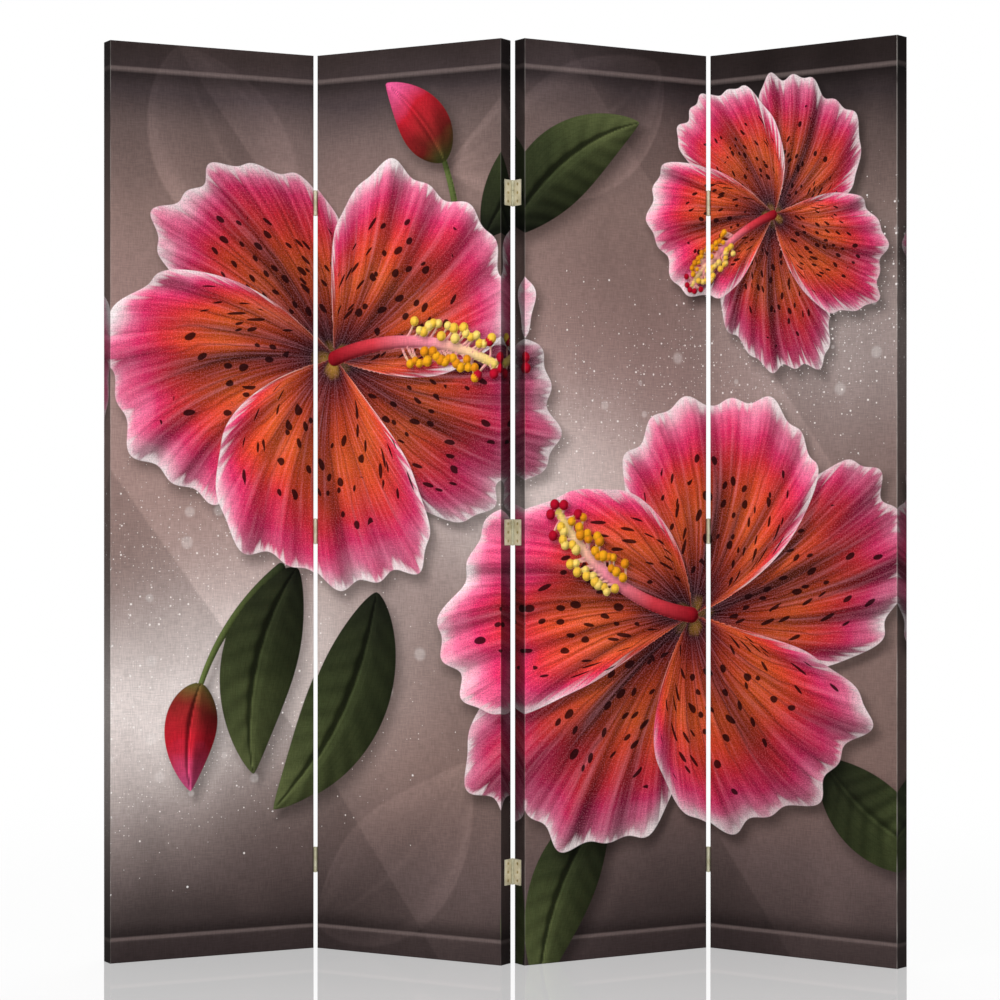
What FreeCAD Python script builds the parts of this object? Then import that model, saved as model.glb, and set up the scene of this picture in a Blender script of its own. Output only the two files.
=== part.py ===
import FreeCAD, Part
import math
import os

from FreeCAD import Placement, Rotation, Vector

# Folding screen: canvas stretched over timber frames, the panels hinged edge to edge in a zigzag.
# Millimetres, +Z up, the floor at Z = 0. +X runs along the screen from the first panel to the last,
# the printed side faces -Y, and the origin lies on the floor under the middle of the screen's box.

# Panel over its canvas, and the angle of each panel to the run of the screen, in degrees.
PANEL_WIDTH = 360.0
PANEL_HEIGHT = 1500.0
PANEL_TURNS = (27.5, -31.0, 31.5, -38.0)

# Timber frame: stiles the full height, rails and cross bars tenoned between them.
BAR_DEPTH = 30.0
STILE_WIDTH = 38.0
RAIL_WIDTH = 38.0
CROSS_BAR_WIDTH = 30.0
CROSS_BAR_SETBACK = 6.0
CROSS_BAR_COUNT = 2
TENON_LENGTH = 20.0
TENON_DEPTH = 9.0
TENON_SHOULDER = 8.0
GLUE_GAP = 0.1

# Cloths: the canvas wraps the front and the edges and is turned in behind, the cover shuts the back.
CANVAS_THICK = 0.6
HEM_WIDTH = 30.0
COVER_THICK = 0.5
COVER_INSET = 6.0

# Staples that hold the hem and the cover to the timber.
STAPLE_CROWN = 10.0
STAPLE_LEG = 8.0
STAPLE_WIRE_THICK = 0.6
STAPLE_WIRE_WIDTH = 1.0
STAPLE_INSET = 18.0
STAPLE_CORNER = 50.0
STAPLE_PITCH = 90.0
STAPLE_CLEARANCE = 0.05

# Butt hinges on the edge faces of the panels, their barrels just outside the front or the back.
HINGE_LEVELS = ("bottom", "middle", "top")
HINGE_FROM_BOTTOM = 149.0
HINGE_FROM_TOP = 248.0
HINGE_HEIGHT = 42.0
LEAF_REACH = 24.0
LEAF_THICK = 1.2
LEAF_GAP = 0.8
LEAF_CORNER = 1.2
BARREL_RADIUS = 3.2
KNUCKLE_COUNT = 5
KNUCKLE_GAP = 0.3
PIN_RADIUS = 1.5
PIN_CLEARANCE = 0.05
PIN_HEAD_LIP = 0.8
PIN_HEAD_HEIGHT = 0.8

# Countersunk cross-recess wood screws, one upright row in each leaf.
SCREW_COUNT = 3
SCREW_FROM_END = 7.0
SCREW_LENGTH = 16.0
SCREW_HEAD_RADIUS = 2.6
SCREW_SHANK_RADIUS = 1.3
SCREW_TIP = 3.0
SCREW_POINT_RADIUS = 0.2
SCREW_CLEARANCE = 0.05
RECESS_SPAN = 2.8
RECESS_WIDTH = 0.6
RECESS_DEPTH = 0.8

# Sizes that follow from those above. A panel's own x runs from its left edge, y from front to back.
PANEL_COUNT = len(PANEL_TURNS)
TRAY_DEPTH = BAR_DEPTH + 2.0 * CANVAS_THICK
PANEL_DEPTH = TRAY_DEPTH + COVER_THICK
FRAME_X = (CANVAS_THICK, PANEL_WIDTH - CANVAS_THICK)
FRAME_Y = (CANVAS_THICK, CANVAS_THICK + BAR_DEPTH)
FRAME_Z = (CANVAS_THICK, PANEL_HEIGHT - CANVAS_THICK)
INNER_X = (FRAME_X[0] + STILE_WIDTH, FRAME_X[1] - STILE_WIDTH)
CROSS_BAR_DEPTH = BAR_DEPTH - CROSS_BAR_SETBACK
PIN_TO_EDGE = LEAF_GAP / 2.0 + LEAF_THICK
PIN_TO_FACE = BARREL_RADIUS
PLATE_START = BARREL_RADIUS + KNUCKLE_GAP
PIN_HEAD_RADIUS = PIN_RADIUS + PIN_HEAD_LIP
SCREW_LINE = (PLATE_START + LEAF_REACH) / 2.0
X_AXIS = Vector(1, 0, 0)
Y_AXIS = Vector(0, 1, 0)
Z_AXIS = Vector(0, 0, 1)


def box(x, y, z):
    """Box between a lower and an upper limit on each axis."""
    return Part.makeBox(x[1] - x[0], y[1] - y[0], z[1] - z[0], Vector(x[0], y[0], z[0]))


def around(middle, span):
    """Lower and upper limit of a span about its middle."""
    return (middle - span / 2.0, middle + span / 2.0)


def spread(low, high, pitch):
    """Evenly spaced places from low to high, about a pitch apart."""
    steps = max(1, round((high - low) / pitch))
    return [low + (high - low) * step / steps for step in range(steps + 1)]


def carve(shape, tools):
    """The shape less those tools that reach it."""
    reaching = [tool for tool in tools if tool.BoundBox.intersect(shape.BoundBox)]
    return shape.cut(reaching).Solids[0] if reaching else shape


def placed(shape, place):
    """A copy of the shape moved by a placement."""
    copy = shape.copy()
    copy.Placement = place.multiply(copy.Placement)
    return copy


# Timber


def tenons(middle, width, depth, slack):
    """Left and right tenon of a crosspiece at height middle, grown all round by slack."""
    y = around(FRAME_Y[1] - depth / 2.0, TENON_DEPTH + 2.0 * slack)
    z = around(middle, width - 2.0 * TENON_SHOULDER + 2.0 * slack)
    left = box((INNER_X[0] - TENON_LENGTH - slack, INNER_X[0]), y, z)
    right = box((INNER_X[1], INNER_X[1] + TENON_LENGTH + slack), y, z)
    return [left, right]


def crosspiece(middle, width, depth):
    """Rail or cross bar between the stiles, flush with their backs, with its two tenons."""
    y = (FRAME_Y[1] - depth, FRAME_Y[1])
    body = box(INNER_X, y, around(middle, width))
    return body.fuse(tenons(middle, width, depth, 0.0)).removeSplitter().Solids[0]


def crosspiece_sizes():
    """Height, width and depth of each crosspiece, under the node that holds it."""
    step = (FRAME_Z[1] - FRAME_Z[0]) / (CROSS_BAR_COUNT + 1)
    bars = [FRAME_Z[0] + step * (index + 1) for index in range(CROSS_BAR_COUNT)]
    return {
        "bottom_rail": [(FRAME_Z[0] + RAIL_WIDTH / 2.0, RAIL_WIDTH, BAR_DEPTH)],
        "top_rail": [(FRAME_Z[1] - RAIL_WIDTH / 2.0, RAIL_WIDTH, BAR_DEPTH)],
        "cross_bars": [(level, CROSS_BAR_WIDTH, CROSS_BAR_DEPTH) for level in bars],
    }


def timber():
    """Stiles with their mortises, rails and cross bars of one frame, before any screw or staple."""
    sizes = crosspiece_sizes()
    mortises = [cut for group in sizes.values() for size in group for cut in tenons(*size, GLUE_GAP)]
    pieces = {name: [crosspiece(*size) for size in group] for name, group in sizes.items()}
    pieces["left_stile"] = [carve(box((FRAME_X[0], INNER_X[0]), FRAME_Y, FRAME_Z), mortises)]
    pieces["right_stile"] = [carve(box((INNER_X[1], FRAME_X[1]), FRAME_Y, FRAME_Z), mortises)]
    return pieces


# Cloths


def canvas():
    """One canvas: the front, the four edges and the hem turned in on the back."""
    outer = box((0.0, PANEL_WIDTH), (0.0, TRAY_DEPTH), (0.0, PANEL_HEIGHT))
    x = (HEM_WIDTH, PANEL_WIDTH - HEM_WIDTH)
    z = (HEM_WIDTH, PANEL_HEIGHT - HEM_WIDTH)
    opening = box(x, (FRAME_Y[1], TRAY_DEPTH), z)
    return outer.cut([box(FRAME_X, FRAME_Y, FRAME_Z), opening]).Solids[0]


def back_cover():
    """Plain cloth over the whole back, inside the hem's folded edge."""
    x = (COVER_INSET, PANEL_WIDTH - COVER_INSET)
    z = (COVER_INSET, PANEL_HEIGHT - COVER_INSET)
    return box(x, (TRAY_DEPTH, PANEL_DEPTH), z)


# Staples


def staple_legs(slack):
    """Both legs of a staple that lies along x, grown by slack."""
    y = (PANEL_DEPTH - STAPLE_LEG - slack, PANEL_DEPTH)
    z = around(0.0, STAPLE_WIRE_WIDTH + 2.0 * slack)
    middle = (STAPLE_CROWN - STAPLE_WIRE_THICK) / 2.0
    thick = STAPLE_WIRE_THICK + 2.0 * slack
    return [box(around(side * middle, thick), y, z) for side in (-1.0, 1.0)]


def staple():
    """A staple that lies along x, its crown on the back cover."""
    y = (PANEL_DEPTH, PANEL_DEPTH + STAPLE_WIRE_THICK)
    crown = box(around(0.0, STAPLE_CROWN), y, around(0.0, STAPLE_WIRE_WIDTH))
    return crown.fuse(staple_legs(0.0)).removeSplitter().Solids[0]


def staple_places():
    """Where the staples of one panel go: a row along each edge."""
    upright = Rotation(Y_AXIS, 90.0)
    levels = spread(STAPLE_CORNER, PANEL_HEIGHT - STAPLE_CORNER, STAPLE_PITCH)
    across = spread(STAPLE_CORNER, PANEL_WIDTH - STAPLE_CORNER, STAPLE_PITCH)
    sides = (STAPLE_INSET, PANEL_WIDTH - STAPLE_INSET)
    ends = (STAPLE_INSET, PANEL_HEIGHT - STAPLE_INSET)
    rows = [Placement(Vector(x, 0.0, z), upright) for x in sides for z in levels]
    return rows + [Placement(Vector(x, 0.0, z), Rotation()) for z in ends for x in across]


# Hinges. In a hinge's own axes z is the pin, x points at the panel and y along the leaf to its free edge.


def knuckle_limits(index):
    """Lower and upper end of one knuckle along the pin."""
    pitch = (HINGE_HEIGHT + KNUCKLE_GAP) / KNUCKLE_COUNT
    low = index * pitch - HINGE_HEIGHT / 2.0
    return (low, low + pitch - KNUCKLE_GAP)


def leaf(first):
    """Hinge leaf with every second knuckle from the first, bored for the pin and countersunk."""
    x = (LEAF_GAP / 2.0, PIN_TO_EDGE)
    plate = box(x, (PLATE_START, LEAF_REACH), around(0.0, HINGE_HEIGHT))
    across = [edge for edge in plate.Edges if edge.tangentAt(0.0).cross(X_AXIS).Length < 0.5]
    plate = plate.makeFillet(LEAF_CORNER, [edge for edge in across if edge.CenterOfMass.y > PLATE_START])
    knuckles = []
    for index in range(first, KNUCKLE_COUNT, 2):
        z = knuckle_limits(index)
        knuckles.append(Part.makeCylinder(BARREL_RADIUS, z[1] - z[0], Vector(0.0, 0.0, z[0])))
        knuckles.append(box(x, (0.0, PLATE_START), z))
    lower_end = Vector(0.0, 0.0, -HINGE_HEIGHT / 2.0)
    bore = Part.makeCylinder(PIN_RADIUS + PIN_CLEARANCE, HINGE_HEIGHT, lower_end)
    solid = plate.fuse(knuckles).removeSplitter().cut(bore)
    return carve(solid, screw_row(screw_outline(SCREW_CLEARANCE)))


def pin():
    """Hinge pin with a low domed head at each end."""
    half = HINGE_HEIGHT / 2.0
    tip = half + PIN_HEAD_HEIGHT
    shoulder = Vector(PIN_HEAD_RADIUS * math.sqrt(0.5), 0.0, half + PIN_HEAD_HEIGHT * math.sqrt(0.5))
    upper = Part.Arc(Vector(0.0, 0.0, tip), shoulder, Vector(PIN_HEAD_RADIUS, 0.0, half)).toShape()
    lower = upper.mirror(Vector(0.0, 0.0, 0.0), Z_AXIS)
    side = Part.makePolygon([
        Vector(PIN_HEAD_RADIUS, 0.0, half),
        Vector(PIN_RADIUS, 0.0, half),
        Vector(PIN_RADIUS, 0.0, -half),
        Vector(PIN_HEAD_RADIUS, 0.0, -half),
    ])
    axis = Part.makeLine(Vector(0.0, 0.0, -tip), Vector(0.0, 0.0, tip))
    wire = Part.Wire(Part.__sortEdges__([upper, *side.Edges, lower, axis]))
    return Part.Face(wire).revolve(Vector(0.0, 0.0, 0.0), Z_AXIS, 360.0).Solids[0]


def screw_outline(slack):
    """Turned outline of a screw along x, head flush with the leaf, grown by slack."""
    face = LEAF_GAP / 2.0
    head = SCREW_HEAD_RADIUS + slack
    shank = SCREW_SHANK_RADIUS + slack
    point = SCREW_POINT_RADIUS + slack
    end = face + SCREW_LENGTH + slack
    outline = Part.Face(Part.makePolygon([
        Vector(face, 0.0, 0.0),
        Vector(face, head, 0.0),
        Vector(face + head - shank, shank, 0.0),
        Vector(face + SCREW_LENGTH - SCREW_TIP, shank, 0.0),
        Vector(end, point, 0.0),
        Vector(end, 0.0, 0.0),
        Vector(face, 0.0, 0.0),
    ]))
    return outline.revolve(Vector(0.0, 0.0, 0.0), X_AXIS, 360.0).Solids[0]


def screw():
    """A screw with its cross recess."""
    x = (LEAF_GAP / 2.0, LEAF_GAP / 2.0 + RECESS_DEPTH)
    wide = around(0.0, RECESS_SPAN)
    thin = around(0.0, RECESS_WIDTH)
    return screw_outline(0.0).cut([box(x, wide, thin), box(x, thin, wide)]).Solids[0]


def screw_row(shape):
    """Copies of a shape at the screws of one leaf."""
    span = HINGE_HEIGHT - 2.0 * SCREW_FROM_END
    levels = [span * (index / (SCREW_COUNT - 1) - 0.5) for index in range(SCREW_COUNT)]
    return [placed(shape, Placement(Vector(0.0, SCREW_LINE, level), Rotation())) for level in levels]


def hinge_place(side, face, level):
    """Place of a hinge's own axes on a panel, for its left or right edge and a front or back barrel."""
    x = -PIN_TO_EDGE if side == "left" else PANEL_WIDTH + PIN_TO_EDGE
    y = -PIN_TO_FACE if face == "front" else PANEL_DEPTH + PIN_TO_FACE
    share = HINGE_LEVELS.index(level) / (len(HINGE_LEVELS) - 1)
    z = HINGE_FROM_BOTTOM + share * (PANEL_HEIGHT - HINGE_FROM_TOP - HINGE_FROM_BOTTOM)
    flip = Rotation(X_AXIS, 180.0) if face == "back" else Rotation()
    turn = Rotation(Y_AXIS, 180.0) if side == "right" else Rotation()
    return Placement(Vector(x, y, z), turn.multiply(flip))


def barrel_face(joint):
    """Which face the barrels of a joint stand outside: front where the panels meet at the back."""
    return "front" if PANEL_TURNS[joint - 1] > PANEL_TURNS[joint] else "back"


def panel_hinges(panel):
    """Places of the hinge leaves on one panel."""
    edges = []
    if panel > 1:
        edges.append(("left", barrel_face(panel - 1)))
    if panel < PANEL_COUNT:
        edges.append(("right", barrel_face(panel)))
    return [hinge_place(side, face, level) for side, face in edges for level in HINGE_LEVELS]


# Standing the panels up


def panel_places():
    """Place of each panel: each turned by its own angle and set on the pins of the one before."""
    places = []
    for panel, angle in enumerate(PANEL_TURNS, start=1):
        turn = Rotation(Z_AXIS, angle)
        corner = Vector(0.0, 0.0, 0.0)
        if places:
            face = barrel_face(panel - 1)
            before = places[-1].multVec(hinge_place("right", face, HINGE_LEVELS[0]).Base)
            corner = before - turn.multVec(hinge_place("left", face, HINGE_LEVELS[0]).Base)
        places.append(Placement(corner, turn))
    middle = box_middle(places)
    return [Placement(place.Base - middle, place.Rotation) for place in places]


def box_middle(places):
    """Middle, on the floor, of the box about the panels."""
    plan = [Vector(x, y, 0.0) for x in (0.0, PANEL_WIDTH) for y in (0.0, TRAY_DEPTH)]
    corners = [place.multVec(point) for place in places for point in plan]
    xs = [corner.x for corner in corners]
    ys = [corner.y for corner in corners]
    return Vector((min(xs) + max(xs)) / 2.0, (min(ys) + max(ys)) / 2.0, 0.0)


def panel_nodes(panel, place):
    """Every piece of one panel, in place, under its node name."""
    seats = panel_hinges(panel)
    staples = staple_places()
    holes = [placed(hole, seat) for seat in seats for hole in screw_row(screw_outline(SCREW_CLEARANCE))]
    slots = [placed(leg, spot) for spot in staples for leg in staple_legs(STAPLE_CLEARANCE)]
    pieces = timber()
    pieces["canvas"] = [canvas()]
    pieces["back_cover"] = [back_cover()]
    pieces = {name: [carve(solid, holes + slots) for solid in group] for name, group in pieces.items()}
    pieces["staples"] = [placed(staple(), spot) for spot in staples]
    pieces["hinge_screws"] = [placed(fixing, seat) for seat in seats for fixing in screw_row(screw())]
    prefix = f"panel_{panel}_"
    return {prefix + name: [placed(solid, place) for solid in group] for name, group in pieces.items()}


def hinge_nodes(joint, places):
    """Leaves and pins of the hinges between a panel and the next, in place, under their node names."""
    face = barrel_face(joint)
    nodes = {f"hinge_{joint}_pins": []}
    for level in HINGE_LEVELS:
        left = places[joint - 1].multiply(hinge_place("right", face, level))
        right = places[joint].multiply(hinge_place("left", face, level))
        nodes[f"hinge_{joint}_{level}_left_leaf"] = [placed(leaf(0), left)]
        nodes[f"hinge_{joint}_{level}_right_leaf"] = [placed(leaf(1), right)]
        nodes[f"hinge_{joint}_pins"].append(placed(pin(), left))
    return nodes


def build():
    """Writes every node of the screen as a STEP file."""
    os.makedirs("parts", exist_ok=True)
    places = panel_places()
    nodes = {}
    for panel, place in enumerate(places, start=1):
        nodes.update(panel_nodes(panel, place))
    for joint in range(1, PANEL_COUNT):
        nodes.update(hinge_nodes(joint, places))
    for name, solids in nodes.items():
        shape = solids[0] if len(solids) == 1 else Part.makeCompound(solids)
        shape.exportStep(f"parts/{name}.step")


build()
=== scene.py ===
"""Looks of a folding screen: four printed canvases on timber frames, joined by brass hinges.

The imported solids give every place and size. This script lays the printed canvases and the back
cloths over them, gives each surface its finish, and sets up the studio. Lengths are in metres,
apart from the print, which is drawn in millimetres on the four panels laid side by side.
"""
import bpy
import logging
import math
from dataclasses import dataclass
from enum import Enum
from itertools import product

import numpy as np
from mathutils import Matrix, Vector
from numpy.typing import NDArray


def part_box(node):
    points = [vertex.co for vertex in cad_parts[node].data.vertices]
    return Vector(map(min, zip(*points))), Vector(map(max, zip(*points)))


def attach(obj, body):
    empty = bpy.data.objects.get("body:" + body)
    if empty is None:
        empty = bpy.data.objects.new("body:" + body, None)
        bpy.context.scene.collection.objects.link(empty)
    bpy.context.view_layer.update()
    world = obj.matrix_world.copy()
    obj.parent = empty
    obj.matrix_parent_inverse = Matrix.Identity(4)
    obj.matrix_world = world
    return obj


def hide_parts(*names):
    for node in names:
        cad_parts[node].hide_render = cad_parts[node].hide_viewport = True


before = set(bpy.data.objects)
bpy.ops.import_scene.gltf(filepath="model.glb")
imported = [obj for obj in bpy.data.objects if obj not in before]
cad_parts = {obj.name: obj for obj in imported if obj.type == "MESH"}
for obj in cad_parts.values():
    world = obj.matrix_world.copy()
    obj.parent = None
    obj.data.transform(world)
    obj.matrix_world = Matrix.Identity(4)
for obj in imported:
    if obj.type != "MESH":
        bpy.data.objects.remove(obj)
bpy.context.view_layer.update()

Field = NDArray[np.float64]
Socket = bpy.types.NodeSocket
Value = Socket | float | tuple[float, ...]

MM = 0.001
PANEL_COUNT = 4
HINGE_COUNT = PANEL_COUNT - 1
HINGE_LEVELS = ("bottom", "middle", "top")
HINGE_SIDES = ("left", "right")
TIMBER = ("left_stile", "right_stile", "top_rail", "bottom_rail", "cross_bars")
# Strength of the painted highlight along the left and the right front fold of each panel.
FOLD_HIGHLIGHTS = {1: (0.30, 0.10), 2: (0.10, 0.12), 3: (0.26, 0.10), 4: (0.10, 0.62)}
WHITE = (1.0, 1.0, 1.0, 1.0)

log = logging.getLogger("folding_screen")


def linear(code: str) -> Field:
    """Turns a colour as painters write it into light.

    Args:
        code: The colour as six hex digits, in sRGB.

    Returns:
        Red, green and blue in linear light.
    """
    channels = np.array([int(code[start:start + 2], 16) for start in (0, 2, 4)]) / 255.0
    return np.where(channels <= 0.04045, channels / 12.92, ((channels + 0.055) / 1.055) ** 2.4)


def paint(code: str) -> tuple[float, float, float, float]:
    """Gives a hex colour as the four numbers that a colour socket takes."""
    return (*linear(code).tolist(), 1.0)


def ease(values: Field, low: float, high: float) -> Field:
    """Rises from 0 at low to 1 at high along the curve 3t^2 - 2t^3.

    Args:
        values: Where on the curve each point is.
        low: Value at which the result leaves 0.
        high: Value at which it reaches 1.

    Returns:
        The eased share at each point.
    """
    share = np.clip((values - low) / (high - low), 0.0, 1.0)
    return share * share * (3.0 - 2.0 * share)


def blend(first: Field, second: Field, share: Field) -> Field:
    """Mixes two colours, each one colour or one a point, by a share a point."""
    return first + (second - first) * share[:, None]


def mottle(x: Field, y: Field, seed: int, octaves: int = 3) -> Field:
    """Smooth noise: hashed corner values eased across each unit square, summed over octaves.

    Args:
        x: First coordinate, in units of the coarsest square.
        y: Second coordinate, in the same units.
        seed: Picks one of many patterns.
        octaves: How many times finer and weaker copies are added.

    Returns:
        Noise about 0, from -1 to 1.
    """
    total = np.zeros_like(x)
    weight = 0.5
    for octave in range(octaves):
        step = 2.0 ** octave
        column, row = np.floor(x * step), np.floor(y * step)
        right, up = x * step - column, y * step - row
        right, up = ease(right, 0.0, 1.0), ease(up, 0.0, 1.0)

        def corner(across: int, above: int) -> Field:
            """Hashes one corner of the square to a value from 0 to 1."""
            wave = np.sin((column + across) * 127.1 + (row + above) * 311.7 + (seed + octave) * 74.7)
            return np.mod(wave * 43758.5453, 1.0)

        lower = corner(0, 0) + (corner(1, 0) - corner(0, 0)) * right
        upper = corner(0, 1) + (corner(1, 1) - corner(0, 1)) * right
        total += weight * (2.0 * (lower + (upper - lower) * up) - 1.0)
        weight *= 0.5
    return total


@dataclass(frozen=True)
class ColourRun:
    """A run of colours from one place to the next, mixed in between."""

    stops: tuple[tuple[float, str], ...]

    def at(self, places: Field) -> Field:
        """Gives the colour at each place of the run.

        Args:
            places: Places along the run.

        Returns:
            One linear colour a place.
        """
        where = np.array([stop[0] for stop in self.stops])
        colours = np.array([linear(stop[1]) for stop in self.stops])
        return np.stack([np.interp(places, where, colours[:, channel]) for channel in range(3)], axis=1)


class NodeBench:
    """Adds and joins the nodes of one material, group or world."""

    def __init__(self, tree: bpy.types.NodeTree) -> None:
        """Works on one node tree."""
        self.tree = tree

    def add(self, kind: str, **settings: object) -> bpy.types.Node:
        """Adds a node.

        Args:
            kind: Blender's name for the node.
            settings: Properties of the node and their values.

        Returns:
            The new node.
        """
        node = self.tree.nodes.new(kind)
        for name, value in settings.items():
            setattr(node, name, value)
        return node

    def plug(self, value: Value, socket: Socket) -> None:
        """Joins another socket to this one, or sets its own value.

        Args:
            value: Where the value comes from, or the value itself.
            socket: The socket that takes it.
        """
        if isinstance(value, bpy.types.NodeSocket):
            self.tree.links.new(value, socket)
        else:
            socket.default_value = value

    def math(self, operation: str, *values: Value) -> Socket:
        """Adds a sum.

        Args:
            operation: Blender's name for the sum.
            values: Its terms.

        Returns:
            The result.
        """
        node = self.add("ShaderNodeMath", operation=operation)
        for value, socket in zip(values, node.inputs):
            self.plug(value, socket)
        return node.outputs[0]

    def scaled(self, value: Value, factor: float, offset: float = 0.0) -> Socket:
        """Multiplies by a factor and adds an offset."""
        return self.math("MULTIPLY_ADD", value, factor, offset)

    def product(self, first: Value, *others: Value) -> Socket:
        """Multiplies values one after the other.

        Args:
            first: The first value.
            others: What it is multiplied by.

        Returns:
            The product.
        """
        for other in others:
            first = self.math("MULTIPLY", first, other)
        return first

    def rise(self, value: Value, low: Value, high: Value) -> Socket:
        """Eases from 0 at low to 1 at high; high may be below low.

        Args:
            value: Where on the curve the point is.
            low: Value at which the result leaves 0.
            high: Value at which it reaches 1.

        Returns:
            The eased share.
        """
        node = self.add("ShaderNodeMapRange", interpolation_type="SMOOTHSTEP")
        self.plug(value, node.inputs["Value"])
        self.plug(low, node.inputs["From Min"])
        self.plug(high, node.inputs["From Max"])
        return node.outputs["Result"]

    def mix(self, share: Value, first: Value, second: Value, blend_type: str = "MIX") -> Socket:
        """Mixes two colours.

        Args:
            share: How much of the second.
            first: Colour at share 0.
            second: Colour at share 1.
            blend_type: Way of mixing.

        Returns:
            The mixed colour.
        """
        node = self.add("ShaderNodeMix", data_type="RGBA", blend_type=blend_type, clamp_factor=True)
        self.plug(share, node.inputs[0])
        self.plug(first, node.inputs[6])
        self.plug(second, node.inputs[7])
        return node.outputs[2]

    def toned(self, colour: Value, red: float, green: float, blue: float) -> Socket:
        """Multiplies a colour by three factors."""
        return self.mix(1.0, colour, (red, green, blue, 1.0), "MULTIPLY")

    def layered(self, share: Value, first: Socket, second: Socket) -> Socket:
        """Mixes two shaders.

        Args:
            share: How much of the second.
            first: Shader at share 0.
            second: Shader at share 1.

        Returns:
            The mixed shader.
        """
        node = self.add("ShaderNodeMixShader")
        for value, socket in zip((share, first, second), node.inputs):
            self.plug(value, socket)
        return node.outputs[0]

    def attribute(self, name: str) -> bpy.types.Node:
        """Reads an attribute of the mesh."""
        return self.add("ShaderNodeAttribute", attribute_name=name)

    def split(self, vector: Value) -> tuple[Socket, Socket, Socket]:
        """Takes a vector or colour apart.

        Args:
            vector: The vector or colour.

        Returns:
            Its three numbers.
        """
        node = self.add("ShaderNodeSeparateXYZ")
        self.plug(vector, node.inputs[0])
        return node.outputs[0], node.outputs[1], node.outputs[2]

    def join(self, x: Value, y: Value, z: Value = 0.0) -> Socket:
        """Puts numbers together.

        Args:
            x: First number.
            y: Second number.
            z: Third number.

        Returns:
            The vector.
        """
        node = self.add("ShaderNodeCombineXYZ")
        for value, socket in zip((x, y, z), node.inputs):
            self.plug(value, socket)
        return node.outputs[0]

    def stretch(self, vector: Value, scale: tuple[float, float, float]) -> Socket:
        """Scales a vector along its three directions.

        Args:
            vector: What is scaled.
            scale: The three factors.

        Returns:
            The scaled vector.
        """
        node = self.add("ShaderNodeVectorMath", operation="MULTIPLY")
        self.plug(vector, node.inputs[0])
        node.inputs[1].default_value = scale
        return node.outputs[0]

    def length(self, vector: Value) -> Socket:
        """Measures a vector.

        Args:
            vector: The vector.

        Returns:
            Its length.
        """
        node = self.add("ShaderNodeVectorMath", operation="LENGTH")
        self.plug(vector, node.inputs[0])
        return node.outputs["Value"]

    def noise(self, vector: Value, scale: float, detail: float = 2.0) -> Socket:
        """Reads a noise texture.

        Args:
            vector: Place on the surface.
            scale: Grains a unit of length.
            detail: How many finer octaves are added.

        Returns:
            Noise from 0 to 1.
        """
        node = self.add("ShaderNodeTexNoise")
        self.plug(vector, node.inputs["Vector"])
        node.inputs["Scale"].default_value = scale
        node.inputs["Detail"].default_value = detail
        return node.outputs[0]

    def cells(self, vector: Value, scale: float) -> tuple[Socket, Socket]:
        """Scatters points, one a cell.

        Args:
            vector: Place on the surface.
            scale: Cells a unit of length.

        Returns:
            Distance to the nearest point in cells, and that cell's own random colour.
        """
        node = self.add("ShaderNodeTexVoronoi", voronoi_dimensions="2D")
        self.plug(vector, node.inputs["Vector"])
        node.inputs["Scale"].default_value = scale
        return node.outputs["Distance"], node.outputs["Color"]

    def bump(self, height: Value, distance: float, strength: float) -> Socket:
        """Turns a height into a bent normal.

        Args:
            height: The height at each point.
            distance: Height in metres that 1 stands for.
            strength: Share of the effect.

        Returns:
            The bent normal.
        """
        node = self.add("ShaderNodeBump")
        self.plug(height, node.inputs["Height"])
        node.inputs["Distance"].default_value = distance
        node.inputs["Strength"].default_value = strength
        return node.outputs["Normal"]


def bare_material(name: str) -> tuple[bpy.types.Material, NodeBench, bpy.types.Node]:
    """Starts a material with one shader in it.

    Args:
        name: The material's name.

    Returns:
        The material, a bench for its nodes, and its shader node.
    """
    material = bpy.data.materials.new(name)
    material.use_nodes = True
    bench = NodeBench(material.node_tree)
    shader = next(node for node in material.node_tree.nodes if node.type == "BSDF_PRINCIPLED")
    return material, bench, shader


class Layer(Enum):
    """The layers of the print from the cloth up; each is painted over the one before."""

    FOLIAGE = "foliage"
    REAR = "rear"
    MIDDLE = "middle"
    FORE = "fore"
    COLUMN = "column"
    ANTHERS = "anthers"


@dataclass
class Trace:
    """What a painted shape gives at each point of the cloth."""

    along: Field
    across: Field
    margin: Field
    height: Field


def turned(place: Field, base: tuple[float, float], heading: float) -> tuple[Field, Field]:
    """Measures points from a base, along a heading and to the left of it.

    Args:
        place: Points on the cloth.
        base: Where the measure starts.
        heading: Direction in degrees, anticlockwise from the right.

    Returns:
        Distance forward and distance to the left of each point.
    """
    angle = math.radians(heading)
    x, y = place[:, 0] - base[0], place[:, 1] - base[1]
    return x * math.cos(angle) + y * math.sin(angle), y * math.cos(angle) - x * math.sin(angle)


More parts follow.
